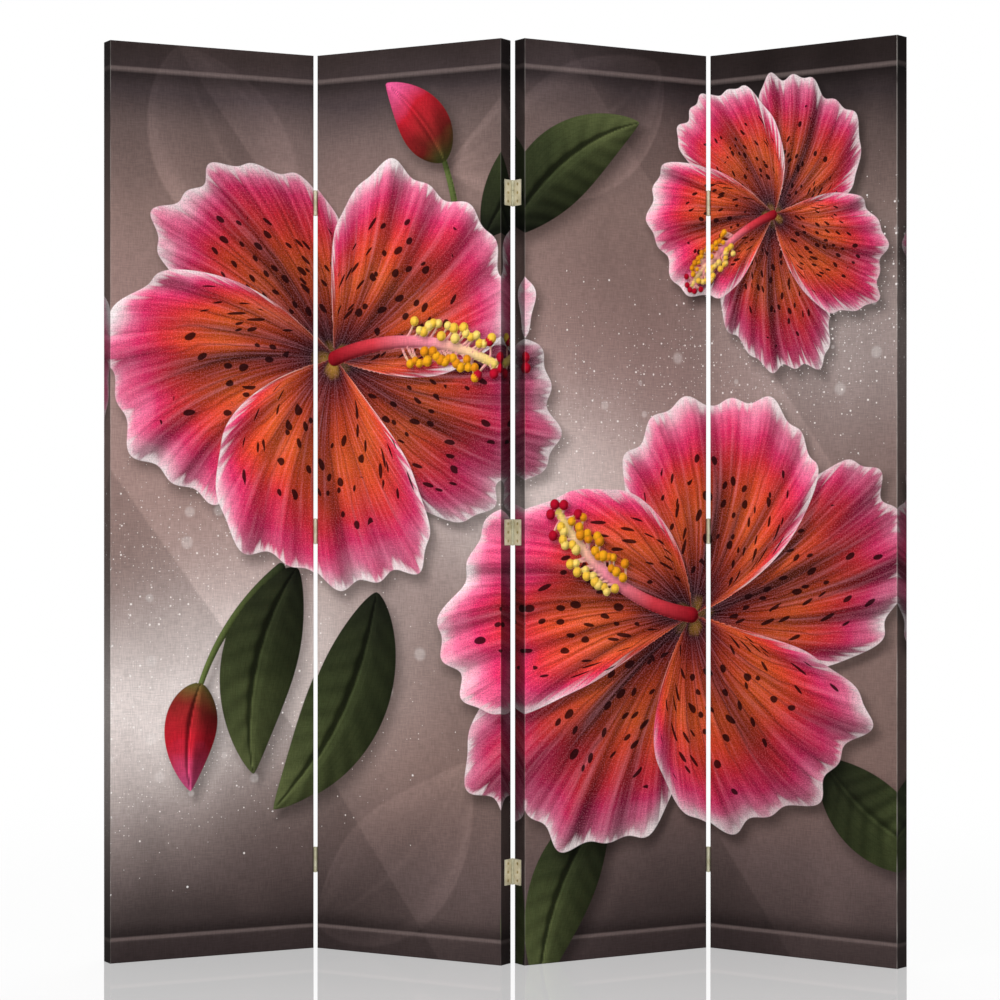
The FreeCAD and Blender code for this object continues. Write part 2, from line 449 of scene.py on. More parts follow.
@dataclass(frozen=True)
class Petal:
    """A fan-shaped petal with a frilled margin.

    With r and a the distance and angle from the base, and v = a / spread, the margin lies at
    r = length * cos(pi/2 * |v|^1.6)^0.6, waved by two sines and noise in v. The petal swirls, so a
    is taken from a heading that turns with r, and it is foreshortened along the blossom's lean. The
    colours follow the share of the way to the margin, held back beside the eye by a soft minimum with
    0.25 + 1.3 * r / length, so that the pale margin runs out there.
    """

    base: tuple[float, float]
    heading: float
    length: float
    spread: float
    swirl: float
    lean: float
    shrink: float
    layer: Layer
    seed: int

    RUN = ColourRun((
        (0.00, "a9ad3a"), (0.05, "b98a28"), (0.10, "35080a"), (0.19, "6e180c"), (0.33, "b23e14"),
        (0.48, "d55822"), (0.62, "e04826"), (0.74, "de2d3c"), (0.85, "df2f68"), (0.93, "eb6f98"),
        (0.99, "f6c0cf"), (1.05, "fef1f3"),
    ))
    RIB = linear("4a0a0a")
    DIMMED = {Layer.REAR: 0.66, Layer.MIDDLE: 0.86, Layer.FORE: 1.0}

    @property
    def veins(self) -> float:
        """Strength of the veins, a little different on each petal."""
        return 0.8 + 0.4 * math.fmod(self.seed * 0.618, 1.0)

    @property
    def frost(self) -> float:
        """Strength of the frosted rim, different on each petal."""
        return 0.45 + 0.5 * math.fmod(self.seed * 0.382, 1.0)

    @property
    def reach(self) -> float:
        """Radius about the base that holds the petal and its shadow."""
        return self.length * 1.25 + 30.0

    def trace(self, place: Field) -> Trace:
        """Works out the petal's own coordinates and its relief.

        Args:
            place: Points on the cloth.

        Returns:
            Share of the way to the margin, share of the spread, depth inside and height.
        """
        forward, left = turned(place, self.base, self.lean)
        angle = np.arctan2(left, forward / self.shrink) + math.radians(self.lean - self.heading)
        radius = np.hypot(forward / self.shrink, left)
        angle = np.mod(angle - math.radians(self.swirl) * radius / self.length + np.pi, 2 * np.pi) - np.pi
        across = angle / math.radians(self.spread)
        phase = self.seed * 1.7
        slow, quick = np.sin(13.0 * across + phase), np.sin(29.0 * across + 2.3 * phase)
        frill = 0.028 * slow + 0.018 * quick
        frill += 0.035 * mottle(across * 4.0, np.full_like(across, self.seed), self.seed, 2)
        crown = np.cos(0.5 * np.pi * np.clip(np.abs(across) ** 1.6, 0.0, 1.0)) ** 0.6
        limit = self.length * crown * (1.0 + frill)
        margin = limit - radius
        margin = np.where(np.abs(across) > 1.0, -radius * (0.05 + np.abs(across) - 1.0), margin)
        near = np.clip(radius / self.length, 0.0, 1.2)
        share = np.maximum(radius / np.maximum(limit, 0.02 * self.length), 0.005)
        along = (share ** -6 + (0.25 + 1.3 * near) ** -6) ** (-1.0 / 6.0)
        throat = 0.30 * (1.0 - np.exp(-4.0 * near)) - 0.20 * near ** 3
        cup = -0.10 * np.cos(1.5 * across) * (1.0 - near) * near
        ruffle = 0.030 * (slow + 0.5 * quick) * ease(near, 0.45, 1.0)
        groove = -0.045 * np.exp(-((across / 0.10) ** 2)) * ease(near, 0.1, 0.4) * (1.0 - 0.8 * near)
        ribs = 0.012 * np.sin(24.0 * across + phase) * ease(near, 0.15, 0.5)
        swell = 0.040 * mottle(across * 2.2 + 7.0, near * 1.6, self.seed + 5, 2) * near
        height = self.length * (throat + cup + ruffle + groove + ribs + swell)
        return Trace(along, across, margin, height)

    def tint(self, trace: Trace, place: Field) -> Field:
        """Colours the petal from its dark eye to its pale margin.

        Args:
            trace: The petal's own coordinates.
            place: Points on the cloth.

        Returns:
            One linear colour a point.
        """
        patches = mottle(place[:, 0] / 70.0, place[:, 1] / 70.0, self.seed + 2)
        shifted = np.clip(trace.along, 0.0, 1.05) * (1.0 + 0.10 * patches)
        colours = self.RUN.at(shifted + 0.06 * trace.across ** 2)
        rib = np.exp(-((trace.across / 0.13) ** 2))
        rib = rib * ease(trace.along, 0.08, 0.3) * (1.0 - ease(trace.along, 0.55, 0.92))
        return blend(colours, self.RIB, 0.75 * rib) * self.DIMMED[self.layer]


@dataclass(frozen=True)
class Arced:
    """A shape along a circular arc, whose centre is straight aside of its base."""

    base: tuple[float, float]
    heading: float
    length: float
    width: float
    bend: float

    SHADOW_ROOM = 60.0

    @property
    def reach(self) -> float:
        """Radius about the base that holds the shape and its shadow."""
        return self.length + self.SHADOW_ROOM

    def measure(self, place: Field) -> tuple[Field, Field, Field]:
        """Measures points along the arc.

        Args:
            place: Points on the cloth.

        Returns:
            Share of the length, distance to the left of the arc, and distance beyond its ends.
        """
        forward, left = turned(place, self.base, self.heading)
        radius = self.length / math.radians(self.bend)
        side = math.copysign(1.0, radius)
        angle = np.arctan2(forward * side, (radius - left) * side)
        along = angle * radius / self.length
        aside = (abs(radius) - np.hypot(forward, radius - left)) * side
        return along, aside, self.length * np.maximum(np.maximum(-along, along - 1.0), 0.0)


@dataclass(frozen=True)
class Leaf(Arced):
    """A leaf or bud: sides at +-width * sin(pi * t^bulge)^0.8 along a midrib that bends as an arc."""

    bulge: float
    layer: Layer
    run: ColourRun
    pleats: float = 9.0
    rounding: float = 0.35
    veins: float = 0.25
    frost: float = 0.0

    def trace(self, place: Field) -> Trace:
        """Works out the leaf's own coordinates and its relief.

        Args:
            place: Points on the cloth.

        Returns:
            Share of the length, share of the width, depth inside and height.
        """
        along, aside, beyond = self.measure(place)
        inner = np.clip(along, 0.0, 1.0)
        half = self.width * np.sin(np.pi * inner ** self.bulge) ** 0.8 + 0.01
        across = np.clip(aside / half, -1.5, 1.5)
        pleat = np.sin(2.0 * np.pi * (self.pleats * inner - 1.1 * np.abs(across)))
        height = half * (self.rounding * (1.0 - across ** 2) - 0.30 * np.exp(-((across / 0.12) ** 2)))
        return Trace(along, across, half - np.abs(aside) - beyond, height + 0.03 * half * pleat)

    def tint(self, trace: Trace, place: Field) -> Field:
        """Colours the leaf from its base to its tip, paler along the midrib.

        Args:
            trace: The leaf's own coordinates.
            place: Points on the cloth.

        Returns:
            One linear colour a point.
        """
        patches = mottle(place[:, 0] / 40.0, place[:, 1] / 40.0, 3)
        colours = self.run.at(np.clip(trace.along + 0.12 * patches, 0.0, 1.0))
        return colours * (1.0 + 0.5 * np.exp(-((trace.across / 0.07) ** 2)))[:, None]


@dataclass(frozen=True)
class Column(Arced):
    """The stamen column or a stalk: a round rod along an arc, tapering, with a rounded end."""

    taper: float
    layer: Layer
    run: ColourRun
    veins: float = 0.0
    frost: float = 0.0

    def trace(self, place: Field) -> Trace:
        """Works out the rod's own coordinates; its relief is a half round.

        Args:
            place: Points on the cloth.

        Returns:
            Share of the length, share of the width, depth inside and height.
        """
        along, aside, beyond = self.measure(place)
        half = self.width * (1.0 - self.taper * np.clip(along, 0.0, 1.0))
        off = np.hypot(aside, beyond)
        height = np.sqrt(np.maximum(half ** 2 - off ** 2, 0.02 * half ** 2))
        return Trace(along, np.clip(aside / half, -1.5, 1.5), half - off, height)

    def tint(self, trace: Trace, place: Field) -> Field:
        """Colours the rod from its base to its end."""
        return self.run.at(np.clip(trace.along, 0.0, 1.0))

    def spot(self, share: float, aside: float) -> tuple[float, float]:
        """Finds a point beside the rod.

        Args:
            share: Share of its length.
            aside: Distance to the left of its middle.

        Returns:
            The point on the cloth.
        """
        radius = self.length / math.radians(self.bend)
        turn = math.radians(self.bend) * share
        forward = (radius - aside) * math.sin(turn)
        left = radius - (radius - aside) * math.cos(turn)
        angle = math.radians(self.heading)
        return (
            self.base[0] + forward * math.cos(angle) - left * math.sin(angle),
            self.base[1] + forward * math.sin(angle) + left * math.cos(angle),
        )


@dataclass(frozen=True)
class Anther:
    """A small round head at the end of a stamen: a dome."""

    base: tuple[float, float]
    radius: float
    colour: str
    layer: Layer = Layer.ANTHERS
    veins: float = 0.0
    frost: float = 0.0

    @property
    def reach(self) -> float:
        """Radius about the base that holds the head and its shadow."""
        return self.radius + 40.0

    def trace(self, place: Field) -> Trace:
        """Works out the distance from the middle; the relief is a dome.

        Args:
            place: Points on the cloth.

        Returns:
            Share of the radius, nothing across, depth inside and height.
        """
        off = np.hypot(place[:, 0] - self.base[0], place[:, 1] - self.base[1])
        dome = np.sqrt(np.maximum(self.radius ** 2 - off ** 2, 0.04 * self.radius ** 2))
        return Trace(off / self.radius, np.zeros_like(off), self.radius - off, 0.8 * dome)

    def tint(self, trace: Trace, place: Field) -> Field:
        """Gives the head its colour, darker to the rim."""
        return linear(self.colour) * (1.15 - 0.35 * np.clip(trace.along, 0.0, 1.2))[:, None]


Shape = Petal | Leaf | Column | Anther


@dataclass(frozen=True)
class Blossom:
    """A five-petalled blossom with a stamen column, drawn as shapes on their layers."""

    centre: tuple[float, float]
    radius: float
    first: float
    lean: float
    shrink: float
    seed: int
    column_heading: float
    column_bend: float
    spread: float = 54.0
    swirl: float = 14.0
    anthers: int = 34

    ORDER = (Layer.REAR, Layer.MIDDLE, Layer.REAR, Layer.MIDDLE, Layer.FORE)
    COLUMN_RUN = ColourRun((
        (0.0, "8f1420"), (0.25, "c93a45"), (0.6, "ef8fa0"), (0.85, "f6cf9c"), (1.0, "f3d36a"),
    ))
    COLUMN_LENGTH = 0.74
    COLUMN_WIDTH = 0.030
    COLUMN_TAPER = 0.45
    FILAMENT_RUN = ColourRun(((0.0, "d9737f"), (0.5, "f0a9a4"), (1.0, "f3d28a")))
    FILAMENT_WIDTH = 2.3
    FILAMENT_BEND = 30.0
    FILAMENT_TAPER = 0.2
    FILAMENT_LEAD = 0.06
    ANTHER_COLOURS = ("f0a81e", "f6c544", "e3901a", "f9d870")
    ANTHERS_FROM = 0.48
    ANTHERS_OVER = 0.46
    STIGMA_COLOUR = "b3102a"
    STIGMA_COUNT = 5
    STIGMA_STEM = 0.97
    STIGMA_PITCH = 0.034
    STIGMA_SIZE = 0.020

    def shapes(self) -> list[Shape]:
        """Draws the blossom.

        Returns:
            Its petals, column, filaments and heads.
        """
        draw = np.random.default_rng(self.seed)
        made: list[Shape] = []
        for index, layer in enumerate(self.ORDER):
            made.append(Petal(
                base=self.centre,
                heading=self.first + index * 360.0 / len(self.ORDER) + draw.uniform(-5.0, 5.0),
                length=self.radius * draw.uniform(0.88, 1.08),
                spread=self.spread * draw.uniform(0.90, 1.06),
                swirl=self.swirl * draw.uniform(0.7, 1.3),
                lean=self.lean,
                shrink=self.shrink,
                layer=layer,
                seed=self.seed * 10 + index,
            ))
        column = Column(
            self.centre, self.column_heading, self.COLUMN_LENGTH * self.radius,
            self.COLUMN_WIDTH * self.radius, self.column_bend, self.COLUMN_TAPER, Layer.COLUMN,
            self.COLUMN_RUN,
        )
        made.append(column)
        for index in range(self.anthers):
            turn = (index + draw.uniform(0.0, 0.8)) / self.anthers
            share = self.ANTHERS_FROM + self.ANTHERS_OVER * turn
            aside = draw.uniform(0.020, 0.085) * self.radius * (1.0 if index % 2 else -1.0)
            head = column.spot(share, aside)
            made.append(self.filament(column.spot(share - self.FILAMENT_LEAD, 0.0), head))
            colour = self.ANTHER_COLOURS[index % len(self.ANTHER_COLOURS)]
            made.append(Anther(head, self.radius * draw.uniform(0.015, 0.021), colour))
        for index in range(self.STIGMA_COUNT):
            aside = (index - 0.5 * (self.STIGMA_COUNT - 1)) * self.STIGMA_PITCH * self.radius
            head = column.spot(1.05 - 0.0006 * aside ** 2 / (0.01 * self.radius), aside)
            made.append(self.filament(column.spot(self.STIGMA_STEM, 0.0), head))
            made.append(Anther(head, self.STIGMA_SIZE * self.radius, self.STIGMA_COLOUR))
        return made

    def filament(self, start: tuple[float, float], end: tuple[float, float]) -> Column:
        """Draws the thin stem of one head.

        Args:
            start: Where it leaves the column.
            end: Middle of the head.

        Returns:
            A thin rod along the arc that joins the two points.
        """
        across, up = end[0] - start[0], end[1] - start[1]
        half_turn = 0.5 * math.radians(self.FILAMENT_BEND)
        length = math.hypot(across, up) * half_turn / math.sin(half_turn)
        heading = math.degrees(math.atan2(up, across) - half_turn)
        return Column(
            start, heading, length, self.FILAMENT_WIDTH, self.FILAMENT_BEND, self.FILAMENT_TAPER,
            Layer.COLUMN, self.FILAMENT_RUN,
        )


@dataclass(frozen=True)
class Glow:
    """A soft patch: exp(-(across / reach)^2 - (up / reach)^2) from its middle, which may climb with x.

    An endless reach across makes it a stream.
    """

    strength: float
    middle: tuple[float, float]
    reach: tuple[float, float]
    climb: float = 0.0

    def at(self, place: Field) -> Field:
        """Reads the patch.

        Args:
            place: Points on the cloth.

        Returns:
            Its strength at each point.
        """
        x, z = place[:, 0], place[:, 1]
        across = (x - self.middle[0]) / self.reach[0]
        up = (z - self.middle[1] - self.climb * x) / self.reach[1]
        return self.strength * np.exp(-(across ** 2) - up ** 2)


@dataclass(frozen=True)
class PrintDesign:
    """The floral print over all four panels, in millimetres from the lower left corner."""

    height: float

    GROUND = ColourRun((
        (0.00, "352c2c"), (0.05, "3e3433"), (0.10, "574947"), (0.22, "745f59"), (0.46, "8b746e"),
        (0.66, "8a716c"), (0.82, "826c66"), (0.91, "665653"), (0.95, "43393a"), (1.00, "332a29"),
    ))
    STRIPE = linear("8a7a77")
    STRIPE_WIDTH = 6.5
    STRIPE_FROM_TOP = 45.0
    STRIPE_FROM_BOTTOM = 38.0
    STRIPE_SOFT = 0.8
    STRIPE_STRENGTH = 0.4
    STRIPE_SHADOW = 34.0
    STRIPE_SHADE = 0.45
    HAZE = linear("e2d8d4")
    LEAF_RUN = ColourRun(((0.0, "1a1d14"), (0.5, "333a22"), (1.0, "545c38")))
    BUD_RUN = ColourRun(((0.0, "51602f"), (0.25, "7c2420"), (0.6, "c0202f"), (1.0, "df5a8f")))
    STALK_RUN = ColourRun(((0.0, "2c3420"), (1.0, "62703c")))
    HAZES = (
        Glow(0.92, (110.0, 400.0), (300.0, 170.0), 0.25), Glow(0.40, (1330.0, 1010.0), (190.0, 150.0)),
        Glow(0.45, (760.0, 760.0), (240.0, 150.0)),
    )
    # Strength, sharp side, start of the fade and end of each slanting band.
    BANDS = ((0.34, -420.0, -300.0, -60.0), (0.30, 90.0, 220.0, 520.0), (-0.22, 640.0, 760.0, 1100.0))
    BAND_EDGE = 3.0
    # Base, heading, length, half width and bend of each leaf.
    LEAVES = (
        ((330.0, 640.0), 236.0, 360.0, 68.0, 42.0), ((480.0, 600.0), 262.0, 420.0, 74.0, -40.0),
        ((690.0, 1180.0), 60.0, 330.0, 62.0, -44.0), ((1300.0, 330.0), 306.0, 300.0, 64.0, 44.0),
        ((880.0, 250.0), 226.0, 330.0, 62.0, 40.0),
    )
    GHOSTS = (
        ((120.0, 1500.0), 285.0, 430.0, 120.0, 40.0), ((980.0, 1480.0), 230.0, 420.0, 110.0, -46.0),
        ((1420.0, 700.0), 205.0, 380.0, 110.0, 40.0), ((360.0, 40.0), 24.0, 420.0, 105.0, 40.0),
    )
    LEAF_BULGE = 0.85
    # Base, heading, length, half width and bend of each stalk, and the heading of its bud.
    STALKS = (
        (((640.0, 1080.0), 84.0, 230.0, 8.0, 26.0), 116.0),
        (((300.0, 640.0), 216.0, 240.0, 8.0, 34.0), 250.0),
    )
    STALK_TAPER = 0.4
    CLOUD_SIZE = 330.0
    STREAK_SIZE = (70.0, 190.0)
    GHOST_RIM = 90.0
    DARK_CORNER = 0.42
    DUST_STREAM = Glow(0.55, (0.0, 640.0), (math.inf, 120.0), 0.32)
    DUST_LEFT = Glow(0.75, (0.0, 360.0), (math.inf, 130.0), 0.10)
    DUST_RIGHT = Glow(0.6, (1300.0, 1030.0), (170.0, 170.0))
    BLOSSOMS = (
        Blossom(
            centre=(395.0, 990.0), radius=435.0, first=327.0, lean=60.0, shrink=0.82, seed=3,
            column_heading=20.0, column_bend=-46.0,
        ),
        Blossom(
            centre=(1050.0, 560.0), radius=440.0, first=219.0, lean=120.0, shrink=0.80, seed=7,
            column_heading=172.0, column_bend=-50.0,
        ),
        Blossom(
            centre=(1205.0, 1225.0), radius=262.0, first=258.0, lean=40.0, shrink=0.78, seed=12,
            column_heading=196.0, column_bend=40.0,
        ),
    )
    LIGHT = np.array([-0.46, 0.52, 0.72]) / np.linalg.norm([-0.46, 0.52, 0.72])
    UNLIT = 0.28
    SHADOW_SHIFT = np.array([-10.0, 13.0])
    SHADOW_DEPTH = 0.55
    SHADOW_SOFT = (-22.0, 16.0)
    HEAD_SHADOW = 0.35
    OUTSIDE = -40.0
    STEP = 0.6

    def shapes(self) -> list[Shape]:
        """Draws every shape of the print.

        Returns:
            The shapes, in no order; each names its layer.
        """
        made: list[Shape] = self.leaves(self.LEAVES)
        for line, heading in self.STALKS:
            stalk = Column(*line, self.STALK_TAPER, Layer.FOLIAGE, self.STALK_RUN)
            bud = stalk.spot(1.0, 0.0)
            made += [
                stalk,
                Leaf(bud, heading, 180.0, 46.0, 28.0, 0.75, Layer.REAR, self.BUD_RUN, 2.0, 0.9),
            ]
        for blossom in self.BLOSSOMS:
            made += blossom.shapes()
        return made

    def leaves(self, lines: tuple[tuple, ...]) -> list[Shape]:
        """Draws leaves along their midribs, from rows of base, heading, length, half width and bend."""
        return [Leaf(*line, self.LEAF_BULGE, Layer.FOLIAGE, self.LEAF_RUN) for line in lines]

    def ground(self, place: Field) -> Field:
        """Paints the cloth behind the flowers: a dusky wash with haze, light bands and ghost leaves.

        Args:
            place: Points on the cloth.

        Returns:
            Linear colour, and how thickly light dust lies there.
        """
        x, z = place[:, 0], place[:, 1]
        clouds = mottle(x / self.CLOUD_SIZE, z / self.CLOUD_SIZE, 21, 4)
        colours = self.GROUND.at(np.clip(z / self.height + 0.05 * clouds, 0.0, 1.0))
        haze = sum(glow.at(place) for glow in self.HAZES) * (1.0 + 0.5 * clouds)
        colours = blend(colours, self.HAZE, np.clip(haze, 0.0, 0.9))
        colours = self.border(z, colours * self.ground_tone(place)[:, None])
        dust = self.DUST_STREAM.at(place) + self.DUST_LEFT.at(place) * ease(x, 700.0, 100.0)
        return np.column_stack([colours, np.clip(dust + self.DUST_RIGHT.at(place), 0.0, 1.0)])

    def ground_tone(self, place: Field) -> Field:
        """Lightens and darkens the ground: slanting bands, streaks, ghost leaves and a dark upper corner.

        Args:
            place: Points on the cloth.

        Returns:
            Factor on the ground's colour, about 1.
        """
        x, z = place[:, 0], place[:, 1]
        tone = 1.0 + 0.16 * mottle(x / self.STREAK_SIZE[0], z / self.STREAK_SIZE[1], 33, 4)
        slant = 0.80 * x + 0.60 * (z - self.height)
        for strength, start, fading, end in self.BANDS:
            tone += strength * ease(slant, start, start + self.BAND_EDGE) * ease(slant, end, fading)
        for ghost in self.leaves(self.GHOSTS):
            trace = ghost.trace(place)
            inner = ease(trace.margin, -2.0, 4.0)
            fade = 0.5 + 0.5 * np.abs(trace.across)
            grain = 1.0 + 0.9 * mottle(trace.across * 6.0, trace.along * 2.0, 41, 3)
            tone += 0.34 * inner * fade * grain * (1.0 - ease(trace.margin, 0.0, self.GHOST_RIM))
            tone += 0.14 * inner * np.exp(-((trace.across / 0.05) ** 2))
        return tone - self.DARK_CORNER * ease(x, 900.0, 1350.0) * ease(z, 1150.0, 1450.0)

    def border(self, z: Field, colours: Field) -> Field:
        """Draws a plain pale stripe near the top and the bottom, with a soft shadow on its inner side.

        Args:
            z: Heights on the cloth.
            colours: Colour of the ground there.

        Returns:
            The ground with its stripes.
        """
        half = 0.5 * self.STRIPE_WIDTH
        for inner in (self.height - self.STRIPE_FROM_TOP - z, z - self.STRIPE_FROM_BOTTOM):
            shadow = ease(inner, self.STRIPE_SHADOW, half) * ease(inner, half - 1.0, half)
            colours = colours * (1.0 - self.STRIPE_SHADE * shadow)[:, None]
            stripe = ease(np.abs(inner), half + self.STRIPE_SOFT, half - self.STRIPE_SOFT)
            colours = blend(colours, self.STRIPE, self.STRIPE_STRENGTH * stripe)
        return colours

    def relief(self, shape: Shape, place: Field) -> tuple[Trace, Field, Field]:
        """Reads a shape at points of the cloth, with its depth inside and its light and shade.

        The depth is the shape's own margin over the steepness of that margin, both taken from three
        readings a small step apart, and the shade is the light on the height's own slope.

        Args:
            shape: What is painted.
            place: Points on the cloth.

        Returns:
            The reading, depth inside in millimetres, and light, which is 1 on a flat place.
        """
        here = shape.trace(place)
        aside = shape.trace(place + np.array([self.STEP, 0.0]))
        above = shape.trace(place + np.array([0.0, self.STEP]))
        steep = np.hypot(aside.margin - here.margin, above.margin - here.margin) / self.STEP
        inside = here.margin / np.clip(steep, 0.35, 4.0)
        slopes = np.column_stack([
            (here.height - aside.height) / self.STEP,
            (here.height - above.height) / self.STEP,
            np.ones(len(place)),
        ])
        facing = slopes @ self.LIGHT / np.linalg.norm(slopes, axis=1)
        light = self.UNLIT + (1.0 - self.UNLIT) * np.clip(facing, 0.0, 1.0) / self.LIGHT[2]
        return here, inside, light

    def layers(self, place: Field) -> dict[str, Field]:
        """Paints every layer at points of the cloth.

        Each layer gives two rows of four numbers a point: its colour with the depth inside, and the
        shape's own two coordinates with the strength of its veins and of its frosted rim. A shape
        throws a soft shadow, down and to the right, on all that lies under it.

        Args:
            place: Points on the cloth.

        Returns:
            The rows by attribute name.
        """
        rows: dict[str, Field] = {}
        shapes = self.shapes()
        shade = np.ones(len(place))
        for layer in reversed(Layer):
            colours = np.zeros((len(place), 4))
            colours[:, 3] = self.OUTSIDE
            weft = np.zeros((len(place), 4))
            cast = np.zeros(len(place))
            for shape in (shape for shape in shapes if shape.layer is layer):
                near = np.hypot(place[:, 0] - shape.base[0], place[:, 1] - shape.base[1]) < shape.reach
                if not near.any():
                    continue
                spots = place[near]
                trace, inside, light = self.relief(shape, spots)
                tint = shape.tint(trace, spots) * (light * shade[near])[:, None]
                best = inside > colours[near, 3]
                chosen = np.flatnonzero(near)[best]
                colours[chosen] = np.column_stack([tint, inside])[best]
                features = np.column_stack([
                    np.clip(trace.along, 0.0, 1.2), np.clip(trace.across, -1.2, 1.2),
                    np.full(len(spots), shape.veins), np.full(len(spots), shape.frost),
                ])
                weft[chosen] = features[best]
                cast[near] = np.maximum(cast[near], self.shadow(shape, spots))
            shade = shade * (1.0 - cast)
            rows[f"{layer.value}_paint"] = colours
            rows[f"{layer.value}_weft"] = weft
        ground = self.ground(place)
        ground[:, :3] *= shade[:, None]
        rows["ground"] = ground
        return rows

    def shadow(self, shape: Shape, place: Field) -> Field:
        """Works out how much of the light a shape takes from what lies under it.

        Args:
            shape: What throws the shadow.
            place: Points on the cloth.

        Returns:
            Share of the light taken, from 0 to about a half.
        """
        size = self.HEAD_SHADOW if isinstance(shape, Anther) else 1.0
        margin = shape.trace(place + size * self.SHADOW_SHIFT).margin
        return self.SHADOW_DEPTH * ease(margin, self.SHADOW_SOFT[0] * size, self.SHADOW_SOFT[1] * size)


def solid_points(node: str) -> Field:
    """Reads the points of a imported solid.

    Args:
        node: Name of the solid.

    Returns:
        Its points, one a row.
    """
    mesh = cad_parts[node].data
    flat = np.empty(3 * len(mesh.vertices))
    mesh.vertices.foreach_get("co", flat)
    return flat.reshape(-1, 3)


@dataclass(frozen=True)
class PanelPlace:
    """Where a panel stands: its front lower left corner and its own directions."""

    number: int
    corner: Field
    along: Field
    through: Field
    width: float
    depth: float
    height: float

    @classmethod
    def read(cls, number: int) -> "PanelPlace":
        """Reads the place from the solid of the panel's canvas.

        Seen from above, the solid is a turned rectangle. Where its nearest corner is left of its
        middle, that corner is the front left one; otherwise the leftmost corner is.

        Args:
            number: Which panel, from 1.

        Returns:
            The panel's place.
        """
        points = solid_points(f"panel_{number}_canvas")
        plan = points[:, :2]
        near, far = plan[plan[:, 1].argmin()], plan[plan[:, 1].argmax()]
        left, right = plan[plan[:, 0].argmin()], plan[plan[:, 0].argmax()]
        if near[0] < 0.5 * (left[0] + right[0]):
            front_left, front_right, back_left = near, right, left
        else:
            front_left, front_right, back_left = left, near, far
        width = float(np.linalg.norm(front_right - front_left))
        depth = float(np.linalg.norm(back_left - front_left))
        bottom, top = points[:, 2].min(), points[:, 2].max()
        return cls(
            number, np.array([*front_left, bottom]), np.array([*(front_right - front_left) / width, 0.0]),
            np.array([*(back_left - front_left) / depth, 0.0]), width, depth, float(top - bottom),
        )

    def stand(self, x: Field, y: Field, z: Field) -> Field:
        """Turns the panel's own coordinates into the screen's.

        Args:
            x: Distance along the panel from its left edge.
            y: Distance back from its front.
            z: Height.

        Returns:
            Points in the screen's frame.
        """
        up = np.array([0.0, 0.0, 1.0])
        return self.corner + x[:, None] * self.along + y[:, None] * self.through + z[:, None] * up

    def from_rim(self, x: Field, z: Field) -> Field:
        """Measures how far points of the panel's own x and height are inside its outline."""
        return np.minimum(np.minimum(x, self.width - x), np.minimum(z, self.height - z))


def make_piece(name: str, points: Field, faces: NDArray[np.int64]) -> bpy.types.Object:
    """Makes a smooth-shaded piece from arrays.

    Args:
        name: The piece's name.
        points: Its points.
        faces: Four point numbers a face.

    Returns:
        The new object, linked into the scene.
    """
    mesh = bpy.data.meshes.new(name)
    mesh.vertices.add(len(points))
    mesh.vertices.foreach_set("co", points.astype(np.float32).ravel())
    mesh.loops.add(faces.size)
    mesh.loops.foreach_set("vertex_index", faces.astype(np.int32).ravel())
    mesh.polygons.add(len(faces))
    mesh.polygons.foreach_set("loop_start", np.arange(0, faces.size, 4, dtype=np.int32))
    mesh.update(calc_edges=True)
    mesh.shade_smooth()
    piece = bpy.data.objects.new(name, mesh)
    bpy.context.scene.collection.objects.link(piece)
    return piece


def add_rows(piece: bpy.types.Object, name: str, rows: Field) -> None:
    """Stores a row of three or four numbers a point on a piece.

    Args:
        piece: The piece.
        name: Name of the attribute.
        rows: The numbers; three are kept as a vector and four as a colour.
    """
    kind, key = ("FLOAT_VECTOR", "vector") if rows.shape[1] == 3 else ("FLOAT_COLOR", "color")
    layer = piece.data.attributes.new(name, kind, "POINT")
    layer.data.foreach_set(key, rows.astype(np.float32).ravel())


def grid_numbers(columns: int, rows: int) -> NDArray[np.int64]:
    """Numbers the points of a grid of cells, row by row from the lowest."""
    return np.arange((columns + 1) * (rows + 1)).reshape(rows + 1, columns + 1)


def grid_faces(columns: int, rows: int) -> NDArray[np.int64]:
    """Numbers the faces of a grid of points stored row by row.

    Args:
        columns: Cells across.
        rows: Cells up.

    Returns:
        Four point numbers a cell, anticlockwise seen with x to the right and rows upwards.
    """
    numbers = grid_numbers(columns, rows)
    return np.stack(
        [numbers[:-1, :-1], numbers[:-1, 1:], numbers[1:, 1:], numbers[1:, :-1]], axis=-1
    ).reshape(-1, 4)


